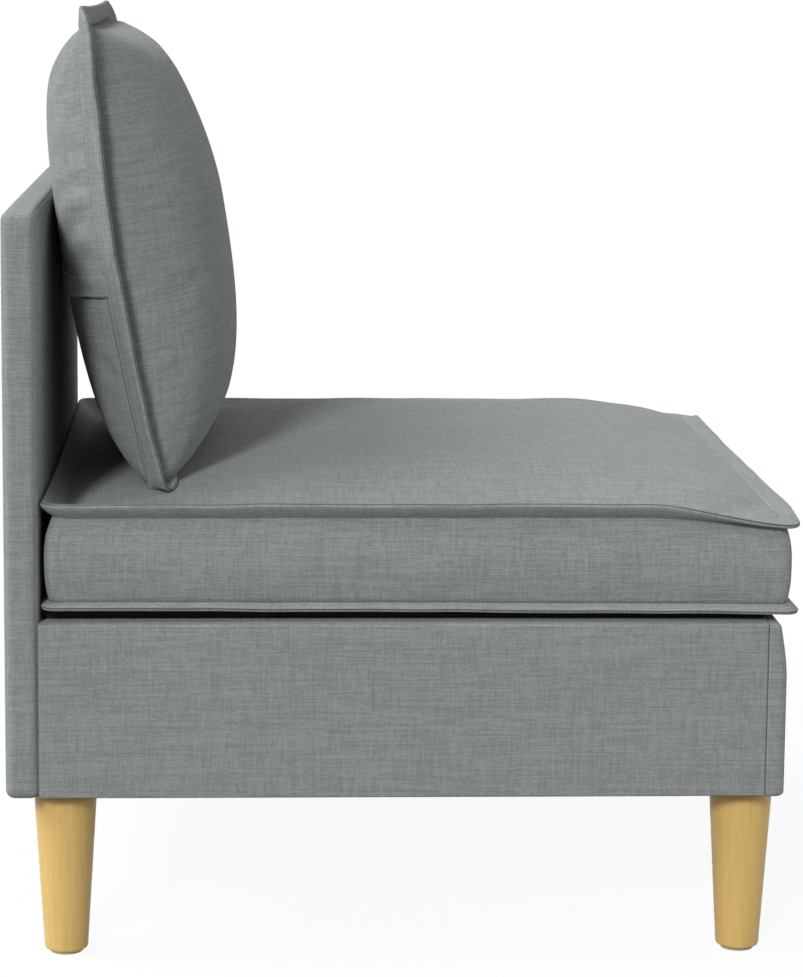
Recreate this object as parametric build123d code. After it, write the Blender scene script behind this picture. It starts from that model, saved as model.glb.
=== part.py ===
from build123d import *
import os
from math import cos, radians, sin, sqrt

# Storage sofa, one armless seat. Millimetres, +Z up, the front faces -Y.
# The origin is on the floor under the middle of the whole sofa.

# Overall sizes
WIDTH = 640.0
BASE_DEPTH = 690.0
SEAT_OVERHANG = 10.0
BASE_HEIGHT = 158.0
BACKREST_TOP = 672.0
FABRIC = 1.5
FIT = 0.1
SOFT_GAP = 0.4

# Legs
LEG_LENGTH = 150.0
LEG_TOP_RADIUS = 28.5
LEG_FOOT_RADIUS = 19.5
LEG_FOOT_ROUND = 2.0
LEG_SIDE_INSET = 47.0
LEG_BACK_INSET = 50.0
LEG_FRONT_INSET = 31.0
GLIDE_THICKNESS = 3.0
GLIDE_RADIUS = 15.0
GLIDE_PIN_RADIUS = 1.5
GLIDE_PIN_LENGTH = 14.0
LEG_BOLT_RADIUS = 4.0
LEG_BOLT_IN_LEG = 35.0
LEG_BOLT_IN_POST = 36.0
INSERT_RADIUS = 6.0
LEG_INSERT_LENGTH = 20.0

# Upholstered panels of the base and the backrest
BACK_BOARD = 18.0
BACK_FOAM = 9.0
BACKREST_ROUND = 6.0
SIDE_BOARD = 18.0
SIDE_FOAM = 2.5
SIDE_ROUND = 4.0
FRONT_BOARD = 12.0
FRONT_FOAM = 3.0
FRONT_ROUND = 7.0
FRONT_SLOPE_DEPTH = 6.0
FRONT_SLOPE_HEIGHT = 47.0
SLEEVE_HEM = 30.0

# Timber inside the base
POST = 50.0
CLEAT = 18.0
LID_CLEAT_HEIGHT = 25.0
BOTTOM_CLEAT_HEIGHT = 18.0
BOTTOM_BOARD = 6.0
NOTCH_ROOM = 0.5
DUST_COVER = 0.8
DUST_COVER_INSET = 14.0

# Fasteners
BOLT_RADIUS = 4.0
BOLT_HEAD_RADIUS = 6.5
BOLT_HEAD_HEIGHT = 6.0
BOLT_SOCKET_RADIUS = 3.4
BOLT_SOCKET_DEPTH = 3.5
BOLT_HEIGHTS = (60.0, 120.0)
WASHER_RADIUS = 10.0
WASHER_THICKNESS = 1.6
BACK_INSERT_LENGTH = 16.0
FRONT_INSERT_LENGTH = 10.0
BOLT_TIP_ROOM = 1.0
SCREW_RADIUS = 2.0
SCREW_HEAD_RADIUS = 4.0
SCREW_BITE = 9.0
POST_SCREW_HEIGHTS = (90.0, 140.0)
CLEAT_SCREW_END = 60.0

# Lid
LID_BOARD = 11.0
LID_COVER = 1.0
LID_PROUD = 9.0
LID_ROOM = 2.0
BATTEN_WIDTH = 40.0
BATTEN_THICKNESS = 18.0
BATTEN_OFFSET = 120.0
BATTEN_ROOM = 4.0
TAB_WIDTH = 40.0
TAB_THICKNESS = 1.4
TAB_REACH = 16.0
TAB_ROOM = 1.5

# Seat cushion
SEAT_FLANGE_RUN = 18.0
SEAT_FLANGE_RISE = 12.0
SEAT_FLANGE_DROP = 9.0
SEAT_FLANGE_WALL = 6.0
SEAT_FLANGE_ROOT = 1.0
SEAT_LOWER_SEAM = 10.0
SEAT_BORDER = 73.0
SEAT_BULGE = 10.0
SEAT_CROWN = 31.0
SEAT_BOTTOM_TUCK = 5.0
SEAT_CORNER = 24.0
SEAT_BOW = 3.0
SEAT_REAR_ROOM = 1.5
CROWN_SIDE_RUN = 200.0
CROWN_REAR_RUN = 330.0
CROWN_TOP_DEPTH = 102.5
CROWN_CORNER_GAIN = 20.0
CROWN_POWER = 2.5
ZIP_LENGTH = 480.0
ZIP_HEIGHT = 22.0
ZIP_PROUD = 1.2

# Back cushion
PILLOW_WIDTH = 540.0
PILLOW_HEIGHT = 437.0
PILLOW_FLANGE = 19.0
PILLOW_FLANGE_THICKNESS = 4.0
PILLOW_EDGE = 8.0
PILLOW_FRONT_SWELL = 73.0
PILLOW_REAR_SWELL = 70.0
PILLOW_BOW = 8.0
PILLOW_CORNER = 6.0
PILLOW_LEAN = 11.3
PILLOW_END_SWELL = 0.03
FLAP_HEIGHT = 21.0
FLAP_UP = 175.0
FLAP_PROUD = 2.4
PILLOW_ZIP_HEIGHT = 10.0
PILLOW_ZIP_PROUD = 1.0

# Places that follow from the sizes above
HALF_WIDTH = WIDTH / 2
BACK = (BASE_DEPTH + SEAT_OVERHANG) / 2
FRONT_FACE = BACK - BASE_DEPTH
BACKREST_FRONT = BACK - 2 * FABRIC - BACK_BOARD - BACK_FOAM
FRONT_REAR = FRONT_FACE + FABRIC + FRONT_FOAM + FRONT_BOARD
SIDE_INNER = HALF_WIDTH - FABRIC - SIDE_FOAM - SIDE_BOARD
POST_INNER = SIDE_INNER - POST
BASE_BOTTOM = GLIDE_THICKNESS + LEG_LENGTH
BASE_TOP = BASE_BOTTOM + BASE_HEIGHT
LID_TOP = BASE_TOP + LID_PROUD
LID_BOTTOM = LID_TOP - LID_COVER - LID_BOARD
FLOOR_BOTTOM = BASE_BOTTOM + BOTTOM_CLEAT_HEIGHT
LOWER_SEAM = LID_TOP + SEAT_LOWER_SEAM
UPPER_SEAM = LOWER_SEAM + SEAT_BORDER
SEAM_HALF = HALF_WIDTH - SEAT_FLANGE_RUN
SEAM_FRONT = FRONT_FACE - SEAT_OVERHANG + SEAT_FLANGE_RUN
SEAM_REAR = BACKREST_FRONT - SEAT_REAR_ROOM - SEAT_FLANGE_RUN
CROWN_FRONT_RUN = SEAM_REAR - SEAM_FRONT - CROWN_REAR_RUN - CROWN_TOP_DEPTH
LEG_X = HALF_WIDTH - LEG_SIDE_INSET
LEG_Y = {"rear": BACK - LEG_BACK_INSET, "front": FRONT_FACE + LEG_FRONT_INSET}
SIDES = {"left": -1, "right": 1}
ENDS = {"rear": 1, "front": -1}


def block(x, y, z):
    """A box between the two ends given for each axis."""
    size = [abs(b - a) for a, b in (x, y, z)]
    middle = [(a + b) / 2 for a, b in (x, y, z)]
    return Pos(*middle) * Box(*size)


def rod(radius, low, high):
    """A cylinder on the Z axis from low to high."""
    return Pos(0, 0, (low + high) / 2) * Cylinder(radius, high - low)


def save(name, *solids):
    """Write one named piece, or a group of like pieces, as a STEP file."""
    export_step(Compound(children=list(solids)), os.path.join("parts", name + ".step"))


def screw(length, room=0.0):
    """A countersunk wood screw pointing down, the top of its head at the origin."""
    radius = SCREW_RADIUS + room
    head = SCREW_HEAD_RADIUS + room
    neck = radius - head
    tip = -length - room
    outline = Polyline((0, 0), (head, 0), (radius, neck), (radius, tip + 2 * radius), (0, tip), (0, 0))
    return revolve(Plane.XZ * make_face(outline), Axis.Z)


def screw_set(places, length):
    """Screws at the places given, and the holes that they sit in."""
    return [place * screw(length) for place in places], [place * screw(length, FIT) for place in places]


# Corner posts, legs and what joins them
def post_span(end):
    """The two faces of a post along Y: the one against its panel, then the one inside the storage."""
    panel = BACKREST_FRONT if end == "rear" else FRONT_REAR
    return panel, panel - ENDS[end] * POST


def leg_pieces(x, y):
    """One turned leg with its hanger bolt, the insert in the post and the glide under the foot."""
    at = Pos(x, y, 0)
    bolt_low = BASE_BOTTOM - LEG_BOLT_IN_LEG
    bolt_high = BASE_BOTTOM + LEG_BOLT_IN_POST
    glide = fillet(rod(GLIDE_RADIUS, 0, GLIDE_THICKNESS).edges().group_by(Axis.Z)[0], GLIDE_THICKNESS / 4)
    glide = glide + rod(GLIDE_PIN_RADIUS, GLIDE_THICKNESS / 2, GLIDE_THICKNESS + GLIDE_PIN_LENGTH)
    cone = Cone(LEG_FOOT_RADIUS, LEG_TOP_RADIUS, LEG_LENGTH)
    leg = Pos(0, 0, GLIDE_THICKNESS + LEG_LENGTH / 2) * cone
    leg = fillet(leg.edges().group_by(Axis.Z)[0], LEG_FOOT_ROUND)
    leg = leg - rod(LEG_BOLT_RADIUS + FIT, bolt_low - FIT, BASE_BOTTOM)
    leg = leg - rod(GLIDE_PIN_RADIUS + FIT, GLIDE_THICKNESS, GLIDE_THICKNESS + GLIDE_PIN_LENGTH + FIT)
    bolt = rod(LEG_BOLT_RADIUS, bolt_low, bolt_high)
    bolt = chamfer(bolt.edges(), LEG_BOLT_RADIUS / 4)
    insert_top = BASE_BOTTOM + LEG_INSERT_LENGTH
    insert = rod(INSERT_RADIUS, BASE_BOTTOM, insert_top) - rod(LEG_BOLT_RADIUS + FIT, BASE_BOTTOM, insert_top)
    hole = rod(LEG_BOLT_RADIUS + FIT, BASE_BOTTOM, bolt_high + FIT)
    hole = hole + rod(INSERT_RADIUS + FIT, BASE_BOTTOM, insert_top + FIT)
    return {"leg": at * leg, "bolt": at * bolt, "insert": at * insert, "glide": at * glide, "hole": at * hole}


def panel_bolt(length):
    """A socket-head bolt pointing down, with the underside of its head at the origin."""
    bolt = rod(BOLT_HEAD_RADIUS, 0, BOLT_HEAD_HEIGHT) + rod(BOLT_RADIUS, -length, 0)
    socket = extrude(Pos(0, 0, BOLT_HEAD_HEIGHT) * RegularPolygon(BOLT_SOCKET_RADIUS, 6), -BOLT_SOCKET_DEPTH)
    return bolt - socket


def panel_fixings(end):
    """Bolts, washers and inserts that hold the backrest or the front panel to its two posts, and their holes."""
    panel, inside = post_span(end)
    skin = FABRIC + BACK_FOAM if end == "rear" else 0.0
    insert = BACK_INSERT_LENGTH if end == "rear" else FRONT_INSERT_LENGTH
    reach = POST + skin
    length = WASHER_THICKNESS + reach + insert - BOLT_TIP_ROOM
    bore = BOLT_RADIUS + FIT
    fixings = {"bolts": [], "washers": [], "inserts": [], "bolt_holes": [], "insert_holes": []}
    for side in SIDES.values():
        for height in BOLT_HEIGHTS:
            origin = (side * (SIDE_INNER + POST_INNER) / 2, inside, BASE_BOTTOM + height)
            place = Plane(origin, x_dir=(1, 0, 0), z_dir=(0, -ENDS[end], 0))
            washer = rod(WASHER_RADIUS, 0, WASHER_THICKNESS) - rod(bore, 0, WASHER_THICKNESS)
            sleeve = rod(INSERT_RADIUS, -reach - insert, -reach) - rod(bore, -reach - insert, -reach)
            fixings["bolts"].append(place * (Pos(0, 0, WASHER_THICKNESS) * panel_bolt(length)))
            fixings["washers"].append(place * washer)
            fixings["inserts"].append(place * sleeve)
            fixings["bolt_holes"].append(place * rod(bore, -reach, 0))
            fixings["insert_holes"].append(place * rod(INSERT_RADIUS + FIT, -reach - insert - FIT, -reach))
    return fixings


def corner_posts(holes):
    """The four square posts, keyed by corner, with every hole that passes through them."""
    posts = {}
    for end in ENDS:
        for side, sign in SIDES.items():
            blank = block((sign * SIDE_INNER, sign * POST_INNER), post_span(end), (BASE_BOTTOM, LID_BOTTOM))
            posts[end + "_" + side] = blank - holes
    return posts


# Upholstered panels
def backrest(bolt_holes, insert_holes, screw_holes):
    """The upright panel: a board with foam on its front, in a sleeve whose hem leaves the bottom open."""
    shell = block((-HALF_WIDTH, HALF_WIDTH), (BACKREST_FRONT, BACK), (BASE_BOTTOM, BACKREST_TOP))
    outside = fillet(shell.edges(), BACKREST_ROUND)
    half = HALF_WIDTH - FABRIC
    core = block((-half, half), (BACKREST_FRONT + FABRIC, BACK - FABRIC), (BASE_BOTTOM + FABRIC, BACKREST_TOP - FABRIC))
    core = fillet(core.edges(), BACKREST_ROUND - FABRIC)
    board_face = BACK - FABRIC - BACK_BOARD
    board_room = block((-HALF_WIDTH, HALF_WIDTH), (board_face, BACK), (0, BACKREST_TOP))
    hem = HALF_WIDTH - SLEEVE_HEM
    mouth_front = BACKREST_FRONT + FABRIC + BACKREST_ROUND
    mouth_rear = BACK - FABRIC - BACKREST_ROUND
    mouth = block((-hem, hem), (mouth_front, mouth_rear), (BASE_BOTTOM, BASE_BOTTOM + FABRIC))
    cover = outside - core - mouth - bolt_holes - screw_holes
    return (core & board_room) - insert_holes - screw_holes, core - board_room - bolt_holes - screw_holes, cover


def left_side_panel(screw_holes):
    """The left side: a board, thin foam on its outer face, and fabric folded over both long edges."""
    span = (FRONT_REAR, BACKREST_FRONT)
    outside = block((-HALF_WIDTH, -SIDE_INNER), span, (BASE_BOTTOM, BASE_TOP))
    outside = fillet(outside.edges().filter_by(Axis.Y).group_by(Axis.X)[0], SIDE_ROUND)
    core = block((-HALF_WIDTH + FABRIC, -SIDE_INNER), span, (BASE_BOTTOM + FABRIC, BASE_TOP - FABRIC))
    core = fillet(core.edges().filter_by(Axis.Y).group_by(Axis.X)[0], SIDE_ROUND - FABRIC)
    board_room = block((-SIDE_INNER - SIDE_BOARD, -SIDE_INNER), span, (BASE_BOTTOM, BASE_TOP))
    return (core & board_room) - screw_holes, core - board_room, outside - core


def front_form(inset):
    """The front panel's rounded form, which thins towards its top, inset from all but its rear face."""
    face, low, high = FRONT_FACE + inset, BASE_BOTTOM + inset, BASE_TOP - inset
    slope = ((face, high - FRONT_SLOPE_HEIGHT), (face + FRONT_SLOPE_DEPTH, high))
    outline = Polyline((FRONT_REAR, low), (face, low), *slope, (FRONT_REAR, high), close=True)
    blank = extrude(Plane.YZ * make_face(outline), HALF_WIDTH - inset, both=True)
    not_rear = blank.edges().filter_by(Axis.Y, reverse=True).group_by(Axis.Y)[:-1]
    return fillet([edge for group in not_rear for edge in group], FRONT_ROUND - inset)


def front_panel(insert_holes, screw_holes):
    """The front: a board, thin foam on its face, and fabric folded back over all four edges."""
    outside, core = front_form(0), front_form(FABRIC)
    board_room = block((-HALF_WIDTH, HALF_WIDTH), (FRONT_REAR - FRONT_BOARD, FRONT_REAR), (0, BASE_TOP))
    return (core & board_room) - insert_holes - screw_holes, core - board_room, outside - core


# Cleats, bottom board and dust cover
def cleat_blanks(low, high):
    """Four timber strips along the walls between the posts, from low to high."""
    walk = (post_span("front")[1], post_span("rear")[1])
    across = (-POST_INNER, POST_INNER)
    return {
        "left": block((-SIDE_INNER, -SIDE_INNER + CLEAT), walk, (low, high)),
        "right": block((SIDE_INNER, SIDE_INNER - CLEAT), walk, (low, high)),
        "front": block(across, (FRONT_REAR, FRONT_REAR + CLEAT), (low, high)),
        "rear": block(across, (BACKREST_FRONT, BACKREST_FRONT - CLEAT), (low, high)),
    }


def cleat_screw_places(height):
    """Where two screws go through each cleat: side cleats, then the front one, then the rear one."""
    side_ends = (post_span("front")[1] + CLEAT_SCREW_END, post_span("rear")[1] - CLEAT_SCREW_END)
    face = SIDE_INNER - CLEAT
    sides = [
        Plane((sign * face, y, height), x_dir=(0, 1, 0), z_dir=(-sign, 0, 0))
        for sign in SIDES.values()
        for y in side_ends
    ]
    cross_end = POST_INNER - CLEAT_SCREW_END
    front = [Plane((x, FRONT_REAR + CLEAT, height), z_dir=(0, 1, 0)) for x in (-cross_end, cross_end)]
    rear = [Plane((x, BACKREST_FRONT - CLEAT, height), z_dir=(0, -1, 0)) for x in (-cross_end, cross_end)]
    return sides, front, rear


def cleat_screws():
    """All cleat screws, and their holes, for both rows of cleats."""
    heights = (LID_BOTTOM - LID_CLEAT_HEIGHT / 2, BASE_BOTTOM + BOTTOM_CLEAT_HEIGHT / 2)
    screws = []
    holes = []
    for height in heights:
        sides, front, rear = cleat_screw_places(height)
        for places, length in (
            (sides + front, CLEAT + SCREW_BITE),
            (rear, CLEAT + FABRIC + BACK_FOAM + SCREW_BITE),
        ):
            made, cut = screw_set(places, length)
            screws += made
            holes += cut
    return screws, holes


def bottom_board(screw_holes):
    """The floor of the storage: a thin board on the bottom cleats, notched round the posts."""
    board = block(
        (-SIDE_INNER, SIDE_INNER), (FRONT_REAR, BACKREST_FRONT), (FLOOR_BOTTOM, FLOOR_BOTTOM + BOTTOM_BOARD)
    )
    for end in ENDS:
        panel, inside = post_span(end)
        for sign in SIDES.values():
            notch_x = (sign * SIDE_INNER, sign * (POST_INNER - NOTCH_ROOM))
            board = board - block(notch_x, (panel, inside - ENDS[end] * NOTCH_ROOM), (0, BASE_TOP))
    return board - screw_holes


def bottom_board_screw_places():
    """Two screws down into each side cleat and one into the middle of the front and rear cleats."""
    top = FLOOR_BOTTOM + BOTTOM_BOARD
    x = SIDE_INNER - CLEAT / 2
    ends = (post_span("front")[1] + CLEAT_SCREW_END / 2, post_span("rear")[1] - CLEAT_SCREW_END / 2)
    places = [Pos(sign * x, y, top) for sign in SIDES.values() for y in ends]
    return places + [Pos(0, y, top) for y in (FRONT_REAR + CLEAT / 2, BACKREST_FRONT - CLEAT / 2)]


def dust_cover():
    """A sheet of non-woven cloth stapled under the base, with a hole for each leg."""
    half = HALF_WIDTH - DUST_COVER_INSET
    span = (FRONT_FACE + DUST_COVER_INSET, BACK - DUST_COVER_INSET)
    sheet = block((-half, half), span, (BASE_BOTTOM - DUST_COVER, BASE_BOTTOM))
    holes = [
        Pos(sign * LEG_X, y, 0) * rod(LEG_TOP_RADIUS + FIT, 0, BASE_TOP)
        for sign in SIDES.values()
        for y in LEG_Y.values()
    ]
    return sheet - holes


# Lid
def lid_span(inset):
    """The lid's outline, inset on every side, as its ends along X and along Y."""
    half = SIDE_INNER - LID_ROOM - inset
    return (-half, half), (FRONT_REAR + LID_ROOM + inset, BACKREST_FRONT - LID_ROOM - inset)


def lid_pieces():
    """The lift-out lid: a board in black cloth, two battens screwed under it and a webbing tab in front."""
    outer_x, outer_y = lid_span(0)
    inner_x, inner_y = lid_span(LID_COVER)
    blank = block(inner_x, inner_y, (LID_BOTTOM, LID_BOTTOM + LID_BOARD))
    cover = block(outer_x, outer_y, (LID_BOTTOM, LID_TOP)) - blank
    batten_low = LID_BOTTOM - BATTEN_THICKNESS
    room = CLEAT + BATTEN_ROOM
    batten_y = (FRONT_REAR + room, BACKREST_FRONT - room)
    half = BATTEN_WIDTH / 2
    places = {
        side: [
            Plane((sign * BATTEN_OFFSET, y, batten_low), z_dir=(0, 0, -1))
            for y in (batten_y[0] + CLEAT_SCREW_END, batten_y[1] - CLEAT_SCREW_END)
        ]
        for side, sign in SIDES.items()
    }
    screws, holes = screw_set(places["left"] + places["right"], BATTEN_THICKNESS + SCREW_BITE)
    battens = {
        side: block(
            (sign * BATTEN_OFFSET - half, sign * BATTEN_OFFSET + half), batten_y, (batten_low, LID_BOTTOM)
        )
        - holes
        for side, sign in SIDES.items()
    }
    edge = outer_y[0]
    tab_low = BASE_TOP + TAB_ROOM
    tab_top = tab_low + TAB_THICKNESS
    tab_x = (-TAB_WIDTH / 2, TAB_WIDTH / 2)
    tab = block(tab_x, (edge - TAB_THICKNESS, edge), (LID_BOTTOM + TAB_ROOM, tab_top))
    tab = tab + block(tab_x, (edge - TAB_REACH, edge), (tab_low, tab_top))
    return blank - holes, cover, battens, screws, tab


# Seat cushion
def bowed_outline(half, front, rear, z, corner, bow):
    """A rounded rectangle at height z whose four sides bow in towards its middle."""
    tip = corner * (1 - sqrt(0.5))
    middle = (front + rear) / 2
    arcs = (
        ((-half + corner, front), (0, front + bow), (half - corner, front)),
        ((half - corner, front), (half - tip, front + tip), (half, front + corner)),
        ((half, front + corner), (half - bow, middle), (half, rear - corner)),
        ((half, rear - corner), (half - tip, rear - tip), (half - corner, rear)),
        ((half - corner, rear), (0, rear - bow), (-half + corner, rear)),
        ((-half + corner, rear), (-half + tip, rear - tip), (-half, rear - corner)),
        ((-half, rear - corner), (-half + bow, middle), (-half, front + corner)),
        ((-half, front + corner), (-half + tip, front + tip), (-half + corner, front)),
    )
    return Face(Wire([ThreePointArc(*[(x, y, z) for x, y in arc]) for arc in arcs]))


def seat_outline(z, out=0.0, share=0.0):
    """The seat cushion's outline, out from its seams, or a share of the way up to the top of its crown."""
    return bowed_outline(
        SEAM_HALF + out - share * CROWN_SIDE_RUN,
        SEAM_FRONT - out + share * CROWN_FRONT_RUN,
        SEAM_REAR + out - share * CROWN_REAR_RUN,
        z,
        SEAT_CORNER + share * CROWN_CORNER_GAIN,
        SEAT_BOW,
    )


def crown_rise(share):
    """How much of the crown's height is reached at this share of the way in from the seam."""
    return 1 - (1 - share) ** CROWN_POWER


def seat_body(inset):
    """The stuffed box of the seat cushion, inset from its outer skin: flat below, bulged sides, crowned top."""
    bottom = LID_TOP + inset
    low = LOWER_SEAM + inset
    high = UPPER_SEAM - inset
    pan = loft([seat_outline(bottom, -SEAT_BOTTOM_TUCK - inset), seat_outline(low, -inset)])
    border = loft([
        seat_outline(low + share * (high - low), SEAT_BULGE * (1 - (2 * share - 1) ** 2) - inset)
        for share in (0, 0.2, 0.5, 0.8, 1)
    ])
    crown = loft([
        seat_outline(high + SEAT_CROWN * crown_rise(share), -inset, share)
        for share in (0, 0.08, 0.2, 0.4, 0.65, 1)
    ])
    return pan + border + crown


def seat_flange(root, edge):
    """A sewn flange all round: a thin collar from its root at the seam out to its free edge."""
    outer = loft([seat_outline(root), seat_outline(edge, SEAT_FLANGE_RUN)])
    inner = loft([seat_outline(root, -SEAT_FLANGE_WALL), seat_outline(edge, SEAT_FLANGE_RUN - SEAT_FLANGE_WALL)])
    return outer - inner


def seat_cushion():
    """The seat cushion: foam in a zipped cover with a flange at its upper and its lower seam."""
    body = seat_body(0)
    upper = seat_flange(UPPER_SEAM - SEAT_FLANGE_ROOT, UPPER_SEAM + SEAT_FLANGE_RISE)
    lower = seat_flange(LOWER_SEAM + SEAT_FLANGE_ROOT, LOWER_SEAM - SEAT_FLANGE_DROP)
    cover = body + upper + lower - seat_body(FABRIC)
    middle = (LOWER_SEAM + UPPER_SEAM) / 2
    band = block(
        (-ZIP_LENGTH / 2, ZIP_LENGTH / 2), (0, BACK), (middle - ZIP_HEIGHT / 2, middle + ZIP_HEIGHT / 2)
    )
    tape = (seat_body(-ZIP_PROUD) & band) - body
    return cover, seat_body(FABRIC + FIT), tape


# Back cushion
def swell(share):
    """How full the pillow is, 0 at its edges and 1 in the middle, at this share of its span."""
    return (1 - abs(2 * share - 1) ** 2.6) ** 0.58


def pillow_section(share, inset, extra):
    """The pillow cut across at a share of its width: arcs in front and behind, thin at both ends."""
    x = (share - 0.5) * (PILLOW_WIDTH - 2 * PILLOW_FLANGE - 2 * inset)
    fullness = max(swell(share), PILLOW_END_SWELL)
    pull = PILLOW_BOW * (1 - (2 * share - 1) ** 2)
    low = PILLOW_FLANGE + inset + pull
    high = PILLOW_HEIGHT - PILLOW_FLANGE - inset - pull
    edge = PILLOW_EDGE / 2 - inset
    spots = (0, 0.1, 0.2, 0.5, 0.8, 0.9, 1)
    heights = [low + spot * (high - low) for spot in spots]
    front = [
        (x, -edge - PILLOW_FRONT_SWELL * fullness * swell(spot), z) for spot, z in zip(spots, heights)
    ]
    rear = [
        (x, edge + extra + PILLOW_REAR_SWELL * fullness * swell(spot), z) for spot, z in zip(spots, heights)
    ]
    edges = [ThreePointArc(*front[i:i + 3]) for i in (0, 2, 4)]
    edges.append(Line(front[6], rear[6]))
    edges += [ThreePointArc(rear[i], rear[i - 1], rear[i - 2]) for i in (6, 4, 2)]
    edges.append(Line(rear[0], front[0]))
    return Face(Wire(edges))


def pillow_body(inset=0.0, extra=0.0):
    """The stuffed pillow, standing upright on its lower flange, inset from its skin or fuller behind."""
    shares = (0, 0.03, 0.1, 0.25, 0.5, 0.75, 0.9, 0.97, 1)
    return loft([pillow_section(share, inset, extra) for share in shares])


def pillow_flange():
    """The flat sewn edge round the pillow, its four sides pulled in between the corners."""
    half = PILLOW_WIDTH / 2
    top = PILLOW_HEIGHT
    bow = PILLOW_BOW
    arcs = (
        ((-half, 0), (0, bow), (half, 0)),
        ((half, 0), (half - bow, top / 2), (half, top)),
        ((half, top), (0, top - bow), (-half, top)),
        ((-half, top), (-half + bow, top / 2), (-half, 0)),
    )
    middle = PILLOW_FLANGE_THICKNESS / 2
    face = Face(Wire([ThreePointArc(*[(x, -middle, z) for x, z in arc]) for arc in arcs]))
    plate = extrude(face, PILLOW_FLANGE_THICKNESS, dir=(0, 1, 0))
    return fillet(plate.edges().filter_by(Axis.Y), PILLOW_CORNER)


def pillow_place():
    """Where the pillow stands: its back just clear of the backrest, its lower edge just clear of the seat."""
    lean = radians(PILLOW_LEAN)
    foot = UPPER_SEAM + SEAT_CROWN / 2
    stuffed = PILLOW_HEIGHT - 2 * PILLOW_FLANGE
    reach = 0.0
    for step in range(101):
        up = PILLOW_FLANGE + stuffed * step / 100
        depth = PILLOW_EDGE / 2 + PILLOW_REAR_SWELL * swell(step / 100)
        if foot + up * cos(lean) - depth * sin(lean) <= BACKREST_TOP:
            reach = max(reach, up * sin(lean) + depth * cos(lean))
    y = BACKREST_FRONT - SOFT_GAP - reach
    share = min((SEAM_REAR - y) / CROWN_REAR_RUN, 1.0)
    crown = UPPER_SEAM + SEAT_CROWN * crown_rise(share)
    corner = SEAT_CORNER + share * CROWN_CORNER_GAIN
    shoulder = (SEAM_HALF - share * CROWN_SIDE_RUN - corner) / (PILLOW_WIDTH / 2)
    bow = PILLOW_BOW * max(1 - shoulder ** 2, 0.0)
    z = crown + SOFT_GAP - bow * cos(lean) + PILLOW_FLANGE_THICKNESS / 2 * sin(lean)
    return Pos(0, y, z) * Rot(-PILLOW_LEAN, 0, 0)


def back_cushion():
    """The back cushion: fibre filling in a flanged cover, with a zip under a flap across its back."""
    place = pillow_place()
    body = pillow_body()
    cover = body + pillow_flange() - pillow_body(FABRIC)
    half = PILLOW_WIDTH / 2
    behind = (0, PILLOW_EDGE + 2 * PILLOW_REAR_SWELL)
    flap_band = block((-half, half), behind, (FLAP_UP, FLAP_UP + FLAP_HEIGHT))
    zip_middle = FLAP_UP + FLAP_HEIGHT / 2
    zip_x = (-ZIP_LENGTH / 2, ZIP_LENGTH / 2)
    zip_z = (zip_middle - PILLOW_ZIP_HEIGHT / 2, zip_middle + PILLOW_ZIP_HEIGHT / 2)
    tape = (pillow_body(0, PILLOW_ZIP_PROUD) & block(zip_x, behind, zip_z)) - body
    flap = (pillow_body(0, FLAP_PROUD) & flap_band) - body - pillow_flange() - tape
    return [place * piece for piece in (cover, pillow_body(FABRIC + FIT), flap, tape)]


# Put the sofa together and write every piece
os.makedirs("parts", exist_ok=True)

legs = {
    end + "_" + side: leg_pieces(sign * LEG_X, LEG_Y[end]) for end in ENDS for side, sign in SIDES.items()
}
for corner, pieces in legs.items():
    save(corner + "_leg", pieces["leg"])
save("leg_bolts", *[pieces["bolt"] for pieces in legs.values()])
save("leg_inserts", *[pieces["insert"] for pieces in legs.values()])
save("leg_glides", *[pieces["glide"] for pieces in legs.values()])

rear = panel_fixings("rear")
front = panel_fixings("front")
save("panel_bolts", *rear["bolts"], *front["bolts"])
save("panel_washers", *rear["washers"], *front["washers"])
save("panel_inserts", *rear["inserts"], *front["inserts"])

post_screw_places = [
    Plane((sign * POST_INNER, sum(post_span(end)) / 2, BASE_BOTTOM + height), x_dir=(0, 1, 0), z_dir=(-sign, 0, 0))
    for end in ENDS
    for sign in SIDES.values()
    for height in POST_SCREW_HEIGHTS
]
post_screws, post_screw_holes = screw_set(post_screw_places, POST + SCREW_BITE)
save("post_screws", *post_screws)
leg_holes = [pieces["hole"] for pieces in legs.values()]
for corner, post in corner_posts(leg_holes + rear["bolt_holes"] + front["bolt_holes"] + post_screw_holes).items():
    save(corner + "_post", post)

strip_screws, strip_holes = cleat_screws()
save("cleat_screws", *strip_screws)
board_screws, board_holes = screw_set(bottom_board_screw_places(), BOTTOM_BOARD + SCREW_BITE)
save("bottom_board_screws", *board_screws)
for wall, cleat in cleat_blanks(LID_BOTTOM - LID_CLEAT_HEIGHT, LID_BOTTOM).items():
    save(wall + "_lid_cleat", cleat - strip_holes)
for wall, cleat in cleat_blanks(BASE_BOTTOM, FLOOR_BOTTOM).items():
    save(wall + "_bottom_cleat", cleat - strip_holes - board_holes)
save("bottom_board", bottom_board(board_holes))
save("dust_cover", dust_cover())

for name, piece in zip(
    ("backrest_board", "backrest_padding", "backrest_cover"),
    backrest(rear["bolt_holes"], rear["insert_holes"], strip_holes),
):
    save(name, piece)
for name, piece in zip(
    ("front_board", "front_padding", "front_cover"), front_panel(front["insert_holes"], strip_holes)
):
    save(name, piece)
for name, piece in zip(("board", "padding", "cover"), left_side_panel(post_screw_holes + strip_holes)):
    save("left_side_" + name, piece)
    save("right_side_" + name, mirror(piece, about=Plane.YZ))

lid_board, lid_cover, battens, batten_screws, pull_tab = lid_pieces()
save("lid_board", lid_board)
save("lid_cover", lid_cover)
for side, batten in battens.items():
    save("lid_batten_" + side, batten)
save("lid_batten_screws", *batten_screws)
save("lid_pull_tab", pull_tab)

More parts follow.
